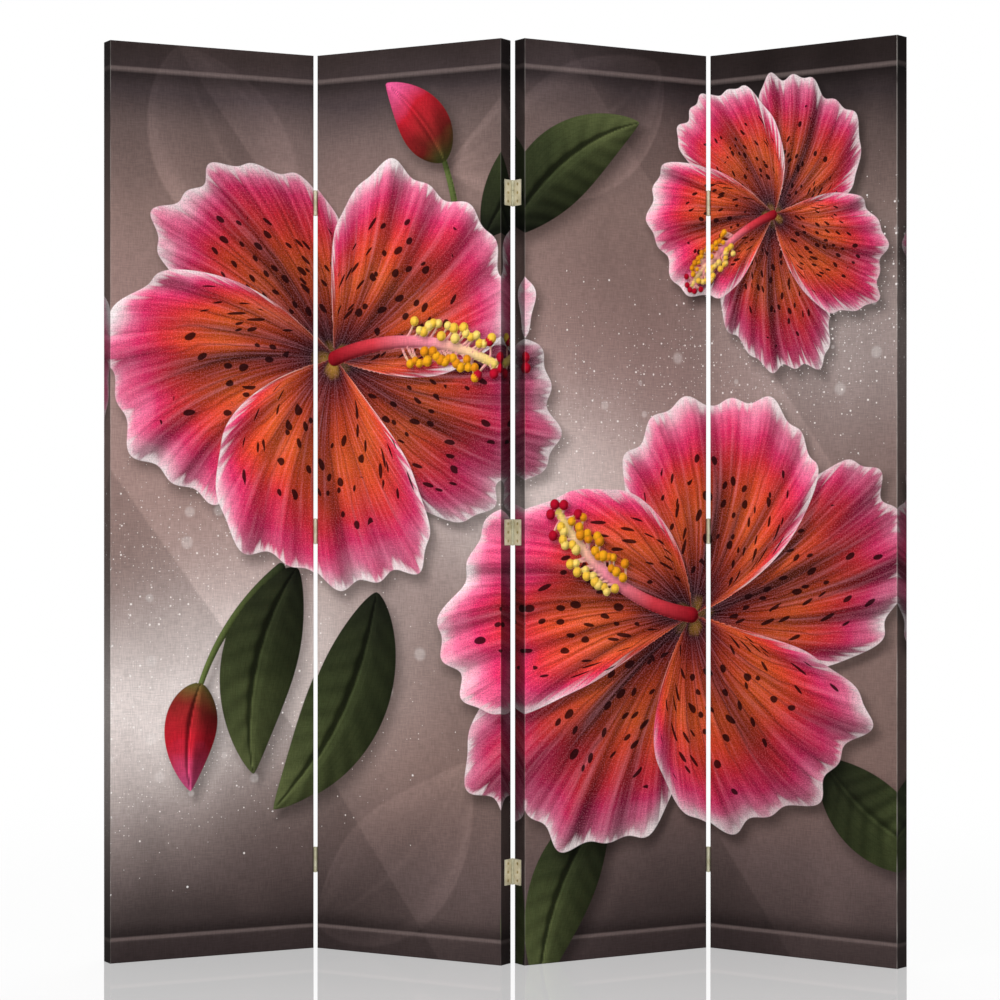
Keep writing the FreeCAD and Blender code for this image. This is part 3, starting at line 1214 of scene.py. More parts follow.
@dataclass
class CanvasWrap:
    """One printed canvas: the front, four edges and the hem turned in behind, as a single sheet."""

    place: PanelPlace
    design: PrintDesign
    finish: bpy.types.Material
    columns: int = 130
    rows: int = 540
    # Strength of the painted highlight along the left and the right front fold.
    fold_highlight: tuple[float, float] = (0.2, 0.2)
    fold: float = 1.0 * MM
    back_fold: float = 0.7 * MM
    hem: float = 30.0 * MM
    fold_steps: int = 3
    edge_steps: int = 8
    hem_marks: tuple[float, ...] = (3.0 * MM, 4.0 * MM, 16.0 * MM)
    slack: float = 0.25 * MM
    dimple: tuple[float, float] = (90.0 * MM, 160.0 * MM)
    taut_rim: float = 40.0 * MM
    tuck: float = 60.0 * MM
    tuck_rise: float = 0.7 * MM
    tuck_soft: float = 3.0 * MM

    TUCK_SIDE = (-2.0 * MM, 3.0 * MM)
    TUCK_FRONT = (0.5 * MM, 4.0 * MM)

    @property
    def name(self) -> str:
        """Name of the piece."""
        return f"panel_{self.place.number}_printed_canvas"

    def profile(self) -> tuple[Field, Field, Field]:
        """Draws the way over the edge: a quarter round, the edge, a quarter round, the hem.

        Returns:
            Distance outward from the front's rim, depth, and length of cloth used, a step.
        """
        turn = np.linspace(0.0, 0.5 * np.pi, self.fold_steps + 1)[1:]
        straight = np.linspace(self.fold, self.place.depth - self.back_fold, self.edge_steps + 1)[1:]
        inward = self.fold - np.array([*self.hem_marks, self.hem])
        outward = np.concatenate([
            self.fold * np.sin(turn), np.full(self.edge_steps, self.fold),
            self.fold - self.back_fold * (1.0 - np.cos(turn)), inward,
        ])
        depth = np.concatenate([
            self.fold * (1.0 - np.cos(turn)), straight,
            self.place.depth - self.back_fold * (1.0 - np.sin(turn)),
            np.full(len(inward), self.place.depth),
        ])
        steps = np.hypot(np.diff(outward, prepend=0.0), np.diff(depth, prepend=0.0))
        return outward, depth, np.cumsum(steps)

    def rim(self) -> tuple[NDArray[np.int64], Field]:
        """Walks round the rim of the front grid, from the lower left corner to the right.

        Returns:
            Point numbers, and the outward direction in the panel's x and z, (+-1, +-1) at corners.
        """
        numbers = grid_numbers(self.columns, self.rows)
        walk = np.concatenate([
            numbers[0, :-1], numbers[:-1, -1], numbers[-1, :0:-1], numbers[:0:-1, 0],
        ])
        column, row = walk % (self.columns + 1), walk // (self.columns + 1)
        sideways = np.where(column == 0, -1.0, 0.0) + np.where(column == self.columns, 1.0, 0.0)
        upward = np.where(row == 0, -1.0, 0.0) + np.where(row == self.rows, 1.0, 0.0)
        return walk, np.column_stack([sideways, upward])

    def front(self) -> tuple[Field, Field, Field]:
        """Lays out the front, a grid that dips by smooth noise of up to the slack.

        Returns:
            Distance along the panel, depth and height of each point.
        """
        across = np.linspace(self.fold, self.place.width - self.fold, self.columns + 1)
        up = np.linspace(self.fold, self.place.height - self.fold, self.rows + 1)
        x, z = (values.ravel() for values in np.meshgrid(across, up))
        shift = 5.0 * self.place.number
        dip = 0.5 + 0.5 * mottle(x / self.dimple[0] + shift, z / self.dimple[1], 4, 2)
        return x, self.slack * dip * ease(self.place.from_rim(x, z), 0.0, self.taut_rim), z

    def build(self) -> bpy.types.Object:
        """Builds the sheet with its print.

        The rim of the front grid is carried over the edge by the profile: each ring is the rim, drawn
        out or in about the middle of the panel by the profile's distance, which mitres the corners. The
        print's coordinates are the cloth's own, folded back at each edge, so the edges carry a mirrored
        strip of the front.

        Returns:
            The canvas.
        """
        x, y, z = self.front()
        walk, outward = self.rim()
        offset, depth, used = self.profile()
        steps, count = len(offset), len(walk)
        middle_x, middle_z = 0.5 * self.place.width, 0.5 * self.place.height
        ring_x = middle_x + (x[walk] - middle_x) * (1.0 + offset / (middle_x - self.fold))[:, None]
        ring_z = middle_z + (z[walk] - middle_z) * (1.0 + offset / (middle_z - self.fold))[:, None]
        ring_y = np.repeat(depth, count).reshape(steps, count)
        cloth_x = np.concatenate([x, (x[walk] + used[:, None] * outward[:, 0]).ravel()])
        cloth_z = np.concatenate([z, (z[walk] + used[:, None] * outward[:, 1]).ravel()])
        ring_z = ring_z + self.corner_tucks(ring_x, ring_y, outward)
        points = self.place.stand(
            np.concatenate([x, ring_x.ravel()]), np.concatenate([y, ring_y.ravel()]),
            np.concatenate([z, ring_z.ravel()]),
        )
        loops = np.vstack([walk, len(x) + np.arange(steps * count).reshape(steps, count)])
        ahead = np.roll(loops, -1, axis=1)
        strip = np.stack([loops[:-1], loops[1:], ahead[1:], ahead[:-1]], axis=-1).reshape(-1, 4)
        piece = make_piece(self.name, points, np.vstack([grid_faces(self.columns, self.rows), strip]))
        length = np.concatenate([np.zeros(len(x)), np.repeat(used, count)])
        self.add_print(piece, np.column_stack([cloth_x, cloth_z]), length)
        piece.data.materials.append(self.finish)
        return piece

    def corner_tucks(self, x: Field, depth: Field, outward: Field) -> Field:
        """Raises the folded-in cloth at the corners of the top edge; at the bottom it is pressed flat.

        Each tuck is a flat triangle whose free side runs from the front corner back and inwards.

        Args:
            x: Places along the panel.
            depth: Depths from the front.
            outward: Outward directions of the rim.

        Returns:
            Rise of each point.
        """
        from_side = np.minimum(x, self.place.width - x)
        lap = self.tuck * depth / self.place.depth - from_side
        flap = ease(lap, *self.TUCK_SIDE) * ease(depth, *self.TUCK_FRONT)
        behind = ease(depth, self.place.depth, self.place.depth - self.tuck_soft)
        edge = np.where(np.abs(outward[:, 0]) > 0.5, 0.0, np.maximum(outward[:, 1], 0.0))
        return self.tuck_rise * flap * behind * edge * ease(from_side, 0.0, self.tuck_soft)

    def add_print(self, piece: bpy.types.Object, cloth: Field, used: Field) -> None:
        """Stores the print on the sheet.

        Args:
            piece: The canvas.
            cloth: Each point's place on the unfolded cloth, in metres.
            used: Length of cloth from the front's rim, 0 on the front.
        """
        size = np.array([self.place.width, self.place.height])
        folded = np.abs(cloth)
        folded = size - np.abs(size - folded)
        offset = np.array([(self.place.number - 1) * self.place.width, 0.0])
        drawn = (folded + offset) / MM
        for name, rows in self.design.layers(drawn).items():
            add_rows(piece, name, rows)
        add_rows(piece, "drawn", np.column_stack([drawn, np.zeros(len(drawn))]))
        add_rows(piece, "cloth", np.column_stack([cloth / MM, np.zeros(len(cloth))]))
        add_rows(piece, "wrap", self.wrap_rows(cloth, used))

    def wrap_rows(self, cloth: Field, used: Field) -> Field:
        """Marks where the sheet turns over the edges.

        Args:
            cloth: Each point's place on the unfolded cloth.
            used: Length of cloth from the front's rim.

        Returns:
            Share of the edge, where the print takes painted shade; painted highlight along the fold;
            unprinted hem; and how strong the painted highlight is on that upright fold.
        """
        corner = 0.25 * np.pi * self.fold
        # Share of the edge, where the print takes painted shade.
        edge = ease(used, 0.4 * corner, 2.2 * corner)
        # Painted highlight: a thin pale line along the quarter round of each fold.
        fold_highlight = np.where(used > 0.0, np.exp(-(((used - corner) / (0.6 * corner)) ** 2)), 0.0)
        behind = self.fold + self.place.depth - self.back_fold
        hem = ease(used, behind + self.hem_marks[0], behind + self.hem_marks[1])
        left = ease(cloth[:, 0], 2.0 * self.fold, 0.0)
        right = ease(self.place.width - cloth[:, 0], 2.0 * self.fold, 0.0)
        return np.column_stack([edge, fold_highlight, hem, self.fold_highlight[0] * left + self.fold_highlight[1] * right])

    def hand_over(self, piece: bpy.types.Object) -> None:
        """Fixes the canvas to its panel and hides the solid it stands for.

        Args:
            piece: The canvas.
        """
        panel = f"panel_{self.place.number}"
        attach(piece, panel)
        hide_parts(f"{panel}_canvas")


@dataclass
class BackCover:
    """The white cloth stapled over a panel's back: a shallow sheet, drawn in at the staples."""

    place: PanelPlace
    finish: bpy.types.Material
    columns: int = 58
    rows: int = 248
    thick: float = 0.5 * MM
    staple_inset: float = 12.0 * MM
    staple_pitch: float = 90.0 * MM
    staple_corner: float = 44.0 * MM
    sag: float = 0.7 * MM
    dip: float = 1.6 * MM
    hem: float = 9.0 * MM
    hem_rise: float = 0.35 * MM
    scallop: float = 14.0 * MM
    pull: tuple[float, float] = (70.0 * MM, 260.0 * MM)
    off_timber: float = 22.0 * MM

    @property
    def name(self) -> str:
        """Name of the piece."""
        return f"panel_{self.place.number}_back_cloth"

    def build(self) -> bpy.types.Object:
        """Builds the cloth where its solid lies.

        The surface stands off the frame by scallops between the staples, a turned-in hem round its
        rim and faint diagonal pulls, and dips a little between the bars behind it; a Solidify modifier
        gives it its thickness.

        Returns:
            The back cloth.
        """
        inset = self.inset()
        width, height = self.place.width - 2.0 * inset, self.place.height - 2.0 * inset
        across, up = np.linspace(0.0, width, self.columns + 1), np.linspace(0.0, height, self.rows + 1)
        x, z = (values.ravel() for values in np.meshgrid(across, up))
        side, end = np.minimum(x, width - x), np.minimum(z, height - z)
        to_edge = np.minimum(side, end)
        run = np.where(side < end, z, x)
        wave = 0.5 - 0.5 * np.cos(2.0 * np.pi * (run - self.staple_corner) / self.staple_pitch)
        scallops = wave * np.exp(-(((to_edge - self.staple_inset) / self.scallop) ** 2))
        seed = 8 + self.place.number
        pulls = 0.5 + 0.5 * mottle((x + z) / self.pull[0], (x - z) / self.pull[1], seed, 2)
        hem = ease(to_edge, self.hem, self.hem - 2.0 * MM) * ease(to_edge, 0.0, 1.5 * MM)
        lift = self.sag * (0.6 * scallops + 0.4 * pulls * ease(to_edge, 20.0 * MM, 60.0 * MM))
        lift += self.hem_rise * hem
        backed = self.backed(x + inset, z + inset)
        lift -= self.dip * (1.0 - backed) * (0.7 + 0.6 * pulls)
        points = self.place.stand(x + inset, self.place.depth + self.thick + lift, z + inset)
        faces = grid_faces(self.columns, self.rows)[:, ::-1]
        piece = make_piece(self.name, points, faces)
        add_rows(piece, "cloth", np.column_stack([x / MM, z / MM, to_edge / MM, backed]))
        piece.data.materials.append(self.finish)
        solid = piece.modifiers.new("cloth_thickness", "SOLIDIFY")
        solid.thickness = self.thick
        solid.offset = -1.0
        return piece

    def backed(self, x: Field, z: Field) -> Field:
        """Tells where the cloth lies on timber: the frame all round and two bars across.

        Args:
            x: Distance along the panel.
            z: Height on the panel.

        Returns:
            1 on a bar, easing to 0 a little way off it.
        """
        panel = f"panel_{self.place.number}"
        low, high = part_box(f"{panel}_bottom_rail")
        frame_width = high.z - low.z
        levels = solid_points(f"{panel}_cross_bars")[:, 2]
        middle = 0.5 * self.place.height
        gap = self.place.from_rim(x, z) - frame_width
        for bar in (levels[levels < middle], levels[levels > middle]):
            gap = np.minimum(gap, np.abs(z - 0.5 * (bar.min() + bar.max())) - 0.5 * np.ptp(bar))
        return ease(gap, self.off_timber, 0.0)

    def inset(self) -> float:
        """Distance of the cloth's rim from the panel's edge, from the solid's height."""
        low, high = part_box(f"panel_{self.place.number}_back_cover")
        return 0.5 * (self.place.height - (high.z - low.z))

    def hand_over(self, piece: bpy.types.Object) -> None:
        """Fixes the cloth to its panel and hides the solid it stands for.

        Args:
            piece: The back cloth.
        """
        panel = f"panel_{self.place.number}"
        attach(piece, panel)
        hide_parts(f"{panel}_back_cover")


@dataclass(frozen=True)
class PrintedCanvasFinish:
    """Matt cotton canvas with the print mirrored on its edges, darkened there by painted shade."""

    name: str = "printed_canvas"
    # Factor on the print's colour over the edges: painted shade on the side faces.
    edge_painted_shade: float = 0.25
    thread_pitch: float = 0.9

    PALE_FIBRE = paint("f9b4c8")
    FROST = paint("fbf3f2")
    FRECKLE = paint("1c0507")
    SPECK = paint("f7f1ee")
    # Colour of the painted highlight along the upright front folds.
    PAINTED_HIGHLIGHT = paint("d9d2cb")
    UNPRINTED = paint("ebe6da")
    THREAD_TONES = (0.86, 1.14)
    SOCKETS = {
        "Under": "NodeSocketColor", "Paint": "NodeSocketColor", "Inside": "NodeSocketFloat",
        "Weft": "NodeSocketVector", "Frost": "NodeSocketFloat", "Drawn": "NodeSocketVector",
    }
    # Cells a millimetre, largest size in cells and strength of each kind of speck.
    SPECKS = ((0.060, 0.11, 0.85), (0.13, 0.13, 0.7), (0.016, 0.17, 0.22))

    def layer_group(self) -> bpy.types.NodeTree:
        """Makes the nodes that paint one layer over another.

        The alpha is eased over the layer's rim. Inside, fibres are noise stretched along the shape,
        veins run where the across coordinate, wavered by noise, nears a whole number of sevenths, and
        the rim is frosted to an uneven depth. Grain and freckles come last.

        Returns:
            The node group.
        """
        group = bpy.data.node_groups.new("print_layer", "ShaderNodeTree")
        for name, kind in self.SOCKETS.items():
            group.interface.new_socket(name, in_out="INPUT", socket_type=kind)
        group.interface.new_socket("Colour", in_out="OUTPUT", socket_type="NodeSocketColor")
        bench = NodeBench(group)
        given = bench.add("NodeGroupInput").outputs
        along, across, veins = bench.split(given["Weft"])
        own = bench.scaled(veins, 57.0)
        dark = bench.toned(given["Paint"], 0.18, 0.14, 0.14)
        bright = bench.toned(given["Paint"], 1.7, 1.7, 1.7)
        bright = bench.mix(bench.scaled(given["Frost"], 0.7), bright, self.PALE_FIBRE)
        threads = bench.join(bench.scaled(along, 2.4), bench.scaled(across, 34.0), own)
        streak = bench.noise(threads, 1.0, 3.0)
        fibre = bench.product(bench.scaled(streak, 1.0, -0.5), veins)
        colour = bench.mix(bench.scaled(fibre, 1.3), given["Paint"], bright)
        colour = bench.mix(bench.scaled(fibre, -2.2), colour, dark)
        waver = bench.join(bench.scaled(along, 4.0), bench.scaled(across, 2.0), own)
        wobble = bench.noise(waver, 1.0, 1.0)
        track = bench.math("ADD", bench.scaled(across, 7.0), bench.scaled(wobble, 0.9))
        line = bench.rise(bench.math("PINGPONG", track, 0.5), 0.11, 0.015)
        fade = bench.product(bench.rise(along, 0.06, 0.2), bench.rise(along, 1.0, 0.45))
        colour = bench.mix(bench.product(line, fade, bench.scaled(veins, 0.55)), colour, dark)
        depth = bench.math("ADD", given["Inside"], bench.scaled(streak, 64.0, -32.0))
        outer = bench.scaled(bench.rise(along, 0.35, 0.75), 0.75, 0.25)
        frost = bench.product(bench.rise(depth, 13.0, -3.0), given["Frost"], outer)
        colour = bench.mix(bench.scaled(frost, 0.8), colour, self.FROST)
        grain = bench.scaled(bench.noise(given["Drawn"], 0.45, 2.0), 1.0, -0.5)
        grain = bench.product(grain, veins)
        colour = bench.mix(bench.scaled(grain, 1.2), colour, bright)
        colour = bench.mix(bench.scaled(grain, -1.7), colour, dark)
        on_petal = bench.rise(given["Frost"], 0.2, 0.4)
        dot = bench.product(self.freckles(bench, along, across, own), on_petal)
        colour = bench.mix(bench.scaled(dot, 0.92), colour, self.FRECKLE)
        shown = bench.mix(bench.rise(given["Inside"], -0.9, 0.7), given["Under"], colour)
        bench.plug(shown, bench.add("NodeGroupOutput").inputs["Colour"])
        return group

    def freckles(self, bench: NodeBench, along: Socket, across: Socket, own: Socket) -> Socket:
        """Scatters freckles round the eye of a petal, fewer towards its margin and its sides.

        Args:
            bench: Nodes of the layer.
            along: Share of the way to the margin.
            across: Share of the spread.
            own: A number that differs from petal to petal.

        Returns:
            1 on a freckle and 0 elsewhere.
        """
        aside = bench.product(across, along)
        fan = bench.join(
            bench.math("MULTIPLY_ADD", along, 10.5, own), bench.math("MULTIPLY_ADD", aside, 14.0, own)
        )
        distance, scatter = bench.cells(fan, 1.0)
        size, chance, _ = bench.split(scatter)
        dot = bench.rise(bench.math("SUBTRACT", distance, bench.scaled(size, 0.13)), 0.15, 0.09)
        sides = bench.rise(bench.math("ABSOLUTE", across), 0.92, 0.70)
        zone = bench.product(bench.rise(along, 0.16, 0.26), bench.rise(along, 0.92, 0.50), sides)
        return bench.product(dot, bench.math("LESS_THAN", chance, bench.scaled(zone, 0.8)))

    def dust(self, bench: NodeBench, under: Socket, drawn: Socket, thickness: Socket) -> Socket:
        """Scatters round specks of light over the ground.

        Args:
            bench: The material's nodes.
            under: Colour of the ground.
            drawn: Place on the print.
            thickness: How thickly the specks lie, from 0 to 1.

        Returns:
            The ground with its specks.
        """
        colour = under
        for cells, size, glow in self.SPECKS:
            distance, own = bench.cells(drawn, cells)
            chance, spread, _ = bench.split(own)
            limit = bench.scaled(spread, size, 0.35 * size)
            speck = bench.rise(distance, limit, bench.product(limit, 0.45))
            keep = bench.math("LESS_THAN", chance, bench.scaled(thickness, 0.7))
            colour = bench.mix(bench.product(speck, keep, glow), colour, self.SPECK)
        return colour

    def crossed(self, bench: NodeBench, cloth: Socket, fine: float, long: float, detail: float) -> Socket:
        """Adds two noises, one drawn out along the warp and one along the weft.

        Args:
            bench: The material's nodes.
            cloth: Place on the unfolded cloth.
            fine: Grains a millimetre across the thread.
            long: Grains a millimetre along it.
            detail: How many finer octaves are added.

        Returns:
            Unevenness from 0 to 2.
        """
        warp = bench.noise(bench.stretch(cloth, (fine, long, 1.0)), 1.0, detail)
        weft = bench.noise(bench.stretch(cloth, (long, fine, 1.0)), 1.0, detail)
        return bench.math("ADD", warp, weft)

    def make(self) -> bpy.types.Material:
        """Makes the material.

        Returns:
            The printed canvas.
        """
        material, bench, shader = bare_material(self.name)
        group = self.layer_group()
        drawn = bench.attribute("drawn").outputs["Vector"]
        ground = bench.attribute("ground")
        colour = self.dust(bench, ground.outputs["Color"], drawn, ground.outputs["Alpha"])
        for layer in Layer:
            painted = bench.attribute(f"{layer.value}_paint")
            weft = bench.attribute(f"{layer.value}_weft")
            node = bench.add("ShaderNodeGroup", node_tree=group)
            bench.plug(colour, node.inputs["Under"])
            bench.plug(painted.outputs["Color"], node.inputs["Paint"])
            bench.plug(painted.outputs["Alpha"], node.inputs["Inside"])
            bench.plug(weft.outputs["Vector"], node.inputs["Weft"])
            bench.plug(weft.outputs["Alpha"], node.inputs["Frost"])
            bench.plug(drawn, node.inputs["Drawn"])
            colour = node.outputs[0]
        cloth = bench.attribute("cloth").outputs["Vector"]
        slub = self.crossed(bench, cloth, 1.1, 0.12, 2.0)
        thread = self.crossed(bench, cloth, 0.5, 0.05, 1.0)
        uneven = bench.math("MULTIPLY_ADD", thread, 0.6, bench.scaled(slub, 0.4))
        deep, light = (bench.toned(colour, tone, tone, tone) for tone in self.THREAD_TONES)
        colour = bench.mix(bench.rise(uneven, 0.75, 1.25), deep, light)
        wrap = bench.attribute("wrap")
        edge, fold_highlight, hem = bench.split(wrap.outputs["Vector"])
        # Painted shade: the print is darkened over the edges.
        darker = bench.toned(colour, self.edge_painted_shade, self.edge_painted_shade, self.edge_painted_shade)
        colour = bench.mix(edge, colour, darker)
        # Painted highlight: a patchy pale line along the upright front folds.
        patchy = bench.rise(bench.noise(cloth, 0.012, 3.0), 0.30, 0.62)
        painted_highlight = bench.product(fold_highlight, patchy, wrap.outputs["Alpha"])
        colour = bench.mix(painted_highlight, colour, self.PAINTED_HIGHLIGHT)
        colour = bench.mix(hem, colour, self.UNPRINTED)
        bench.plug(colour, shader.inputs["Base Color"])
        x, z, _ = bench.split(cloth)
        turn = math.pi / self.thread_pitch
        warp, weft = (bench.math("SINE", bench.scaled(value, turn)) for value in (x, z))
        weave = bench.product(warp, weft)
        height = bench.math("ADD", bench.scaled(weave, 0.5), bench.scaled(slub, 0.8))
        bench.plug(bench.bump(height, 0.12 * MM, 0.45), shader.inputs["Normal"])
        bench.plug(bench.scaled(slub, 0.10, 0.66), shader.inputs["Roughness"])
        shader.inputs["Specular IOR Level"].default_value = 0.03
        return material


@dataclass(frozen=True)
class BackClothFinish:
    """White non-woven cloth: matted fibres, an embossed bond, a greyer hem and timber showing through."""

    name: str = "back_cloth"

    THIN = paint("e2dfd8")
    MATTED = paint("efede8")
    LONG_FIBRES = paint("d8d4cb")
    TIMBER_BEHIND = paint("dfd6c6")
    HEM = paint("d5d1c8")

    def make(self) -> bpy.types.Material:
        """Makes the material.

        Returns:
            The back cloth.
        """
        material, bench, shader = bare_material(self.name)
        cloth = bench.attribute("cloth").outputs
        x, z, to_edge = bench.split(cloth["Vector"])
        flat = bench.join(x, z)
        matted = bench.noise(flat, 0.35, 4.0)
        long_fibres = bench.noise(bench.stretch(flat, (0.5, 0.06, 1.0)), 1.0, 3.0)
        colour = bench.mix(bench.rise(matted, 0.35, 0.7), self.THIN, self.MATTED)
        colour = bench.mix(bench.rise(long_fibres, 0.62, 0.8), colour, self.LONG_FIBRES)
        colour = bench.mix(bench.scaled(cloth["Alpha"], 0.45), colour, self.TIMBER_BEHIND)
        colour = bench.mix(bench.scaled(bench.rise(to_edge, 9.5, 8.0), 0.35), colour, self.HEM)
        bench.plug(colour, shader.inputs["Base Color"])
        points, _ = bench.cells(flat, 0.55)
        height = bench.math("ADD", bench.rise(points, 0.18, 0.4), bench.scaled(matted, 0.7))
        bench.plug(bench.bump(height, 0.15 * MM, 0.5), shader.inputs["Normal"])
        bench.plug(bench.scaled(matted, 0.15, 0.78), shader.inputs["Roughness"])
        shader.inputs["Specular IOR Level"].default_value = 0.2
        return material


@dataclass(frozen=True)
class MetalFinish:
    """A worked metal with brush marks and cloudy tarnish, and painted shade on the knuckles close about
    hinge pins.
    """

    name: str
    bright: str
    dull: str
    roughness: float
    brush: tuple[float, float, float]
    metallic: float = 1.0
    pins: tuple[tuple[float, float], ...] = ()
    clouds: float = 70.0
    specks: float = 900.0
    knuckle: float = 3.5 * MM
    # Factor on the knuckles' colour: painted shade.
    knuckle_painted_shade: tuple[float, float, float] = (0.70, 0.73, 0.68)

    def make(self) -> bpy.types.Material:
        """Makes the material.

        Returns:
            The metal.
        """
        material, bench, shader = bare_material(self.name)
        place = bench.add("ShaderNodeTexCoord").outputs["Object"]
        clouds = bench.noise(place, self.clouds, 4.0)
        brushed = bench.noise(bench.stretch(place, self.brush), 1.0, 3.0)
        specks = bench.noise(place, self.specks, 2.0)
        colour = bench.mix(bench.rise(clouds, 0.3, 0.72), paint(self.bright), paint(self.dull))
        colour = bench.mix(bench.scaled(bench.rise(specks, 0.62, 0.75), 0.4), colour, paint(self.dull))
        knuckle_shaded = bench.toned(colour, *self.knuckle_painted_shade)
        x, y, _ = bench.split(place)
        # Painted shade: the knuckles about each pin are darkened.
        for pin_x, pin_y in self.pins:
            away = bench.length(bench.join(bench.scaled(x, 1.0, -pin_x), bench.scaled(y, 1.0, -pin_y)))
            colour = bench.mix(bench.rise(away, 1.05 * self.knuckle, 0.95 * self.knuckle), colour, knuckle_shaded)
        bench.plug(colour, shader.inputs["Base Color"])
        shader.inputs["Metallic"].default_value = self.metallic
        rough = bench.math("ADD", bench.scaled(brushed, 0.18), bench.scaled(clouds, 0.14))
        bench.plug(bench.scaled(rough, 1.0, self.roughness - 0.16), shader.inputs["Roughness"])
        bench.plug(bench.bump(brushed, 0.03 * MM, 0.4), shader.inputs["Normal"])
        return material


@dataclass(frozen=True)
class PineFinish:
    """Planed pine: growth rings seen as wavering bands along the bar, with fine fibres."""

    name: str = "pine"
    rings: tuple[float, float] = (140.0, 90.0)
    ring_wander: float = 9.0

    EARLY_WOOD = paint("e2c79b")
    LATE_WOOD = paint("c79d66")
    FIBRE = paint("a97f4c")

    def make(self) -> bpy.types.Material:
        """Makes the material.

        Returns:
            The pine.
        """
        material, bench, shader = bare_material(self.name)
        place = bench.add("ShaderNodeTexCoord").outputs["Object"]
        wander = bench.noise(bench.stretch(place, (6.0, 6.0, 0.8)), 1.0, 2.0)
        x, y, _ = bench.split(place)
        slant = bench.math("ADD", bench.scaled(x, self.rings[0]), bench.scaled(y, self.rings[1]))
        ring = bench.math("ADD", slant, bench.scaled(wander, self.ring_wander))
        ring = bench.math("PINGPONG", ring, 0.5)
        fibre = bench.noise(bench.stretch(place, (900.0, 900.0, 14.0)), 1.0, 2.0)
        colour = bench.mix(bench.rise(ring, 0.1, 0.5), self.EARLY_WOOD, self.LATE_WOOD)
        colour = bench.mix(bench.scaled(bench.rise(fibre, 0.5, 0.8), 0.3), colour, self.FIBRE)
        bench.plug(colour, shader.inputs["Base Color"])
        bench.plug(bench.scaled(fibre, 0.2, 0.5), shader.inputs["Roughness"])
        bench.plug(bench.bump(fibre, 0.1 * MM, 0.4), shader.inputs["Normal"])
        return material


@dataclass
class Hardware:
    """The solids that stay as they are: timber, staples, screws, hinges and pins."""

    pine: bpy.types.Material
    hinge_brass: bpy.types.Material
    screw_brass: bpy.types.Material
    pin_steel: bpy.types.Material
    staple_steel: bpy.types.Material

    def finishes(self) -> dict[str, bpy.types.Material]:
        """Lists the finish of each solid.

        Returns:
            Materials by the name of the solid.
        """
        listed: dict[str, bpy.types.Material] = {}
        for panel in range(1, PANEL_COUNT + 1):
            listed |= {f"panel_{panel}_{bar}": self.pine for bar in TIMBER}
            listed[f"panel_{panel}_staples"] = self.staple_steel
            listed[f"panel_{panel}_hinge_screws"] = self.screw_brass
        for hinge in range(1, HINGE_COUNT + 1):
            for level, side in product(HINGE_LEVELS, HINGE_SIDES):
                listed[f"hinge_{hinge}_{level}_{side}_leaf"] = self.hinge_brass
            listed[f"hinge_{hinge}_pins"] = self.pin_steel
        return listed

    def dress(self) -> int:
        """Gives each solid its finish.

        Returns:
            How many solids were dressed.
        """
        listed = self.finishes()
        for node, finish in listed.items():
            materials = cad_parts[node].data.materials
            materials.clear()
            materials.append(finish)
        return len(listed)


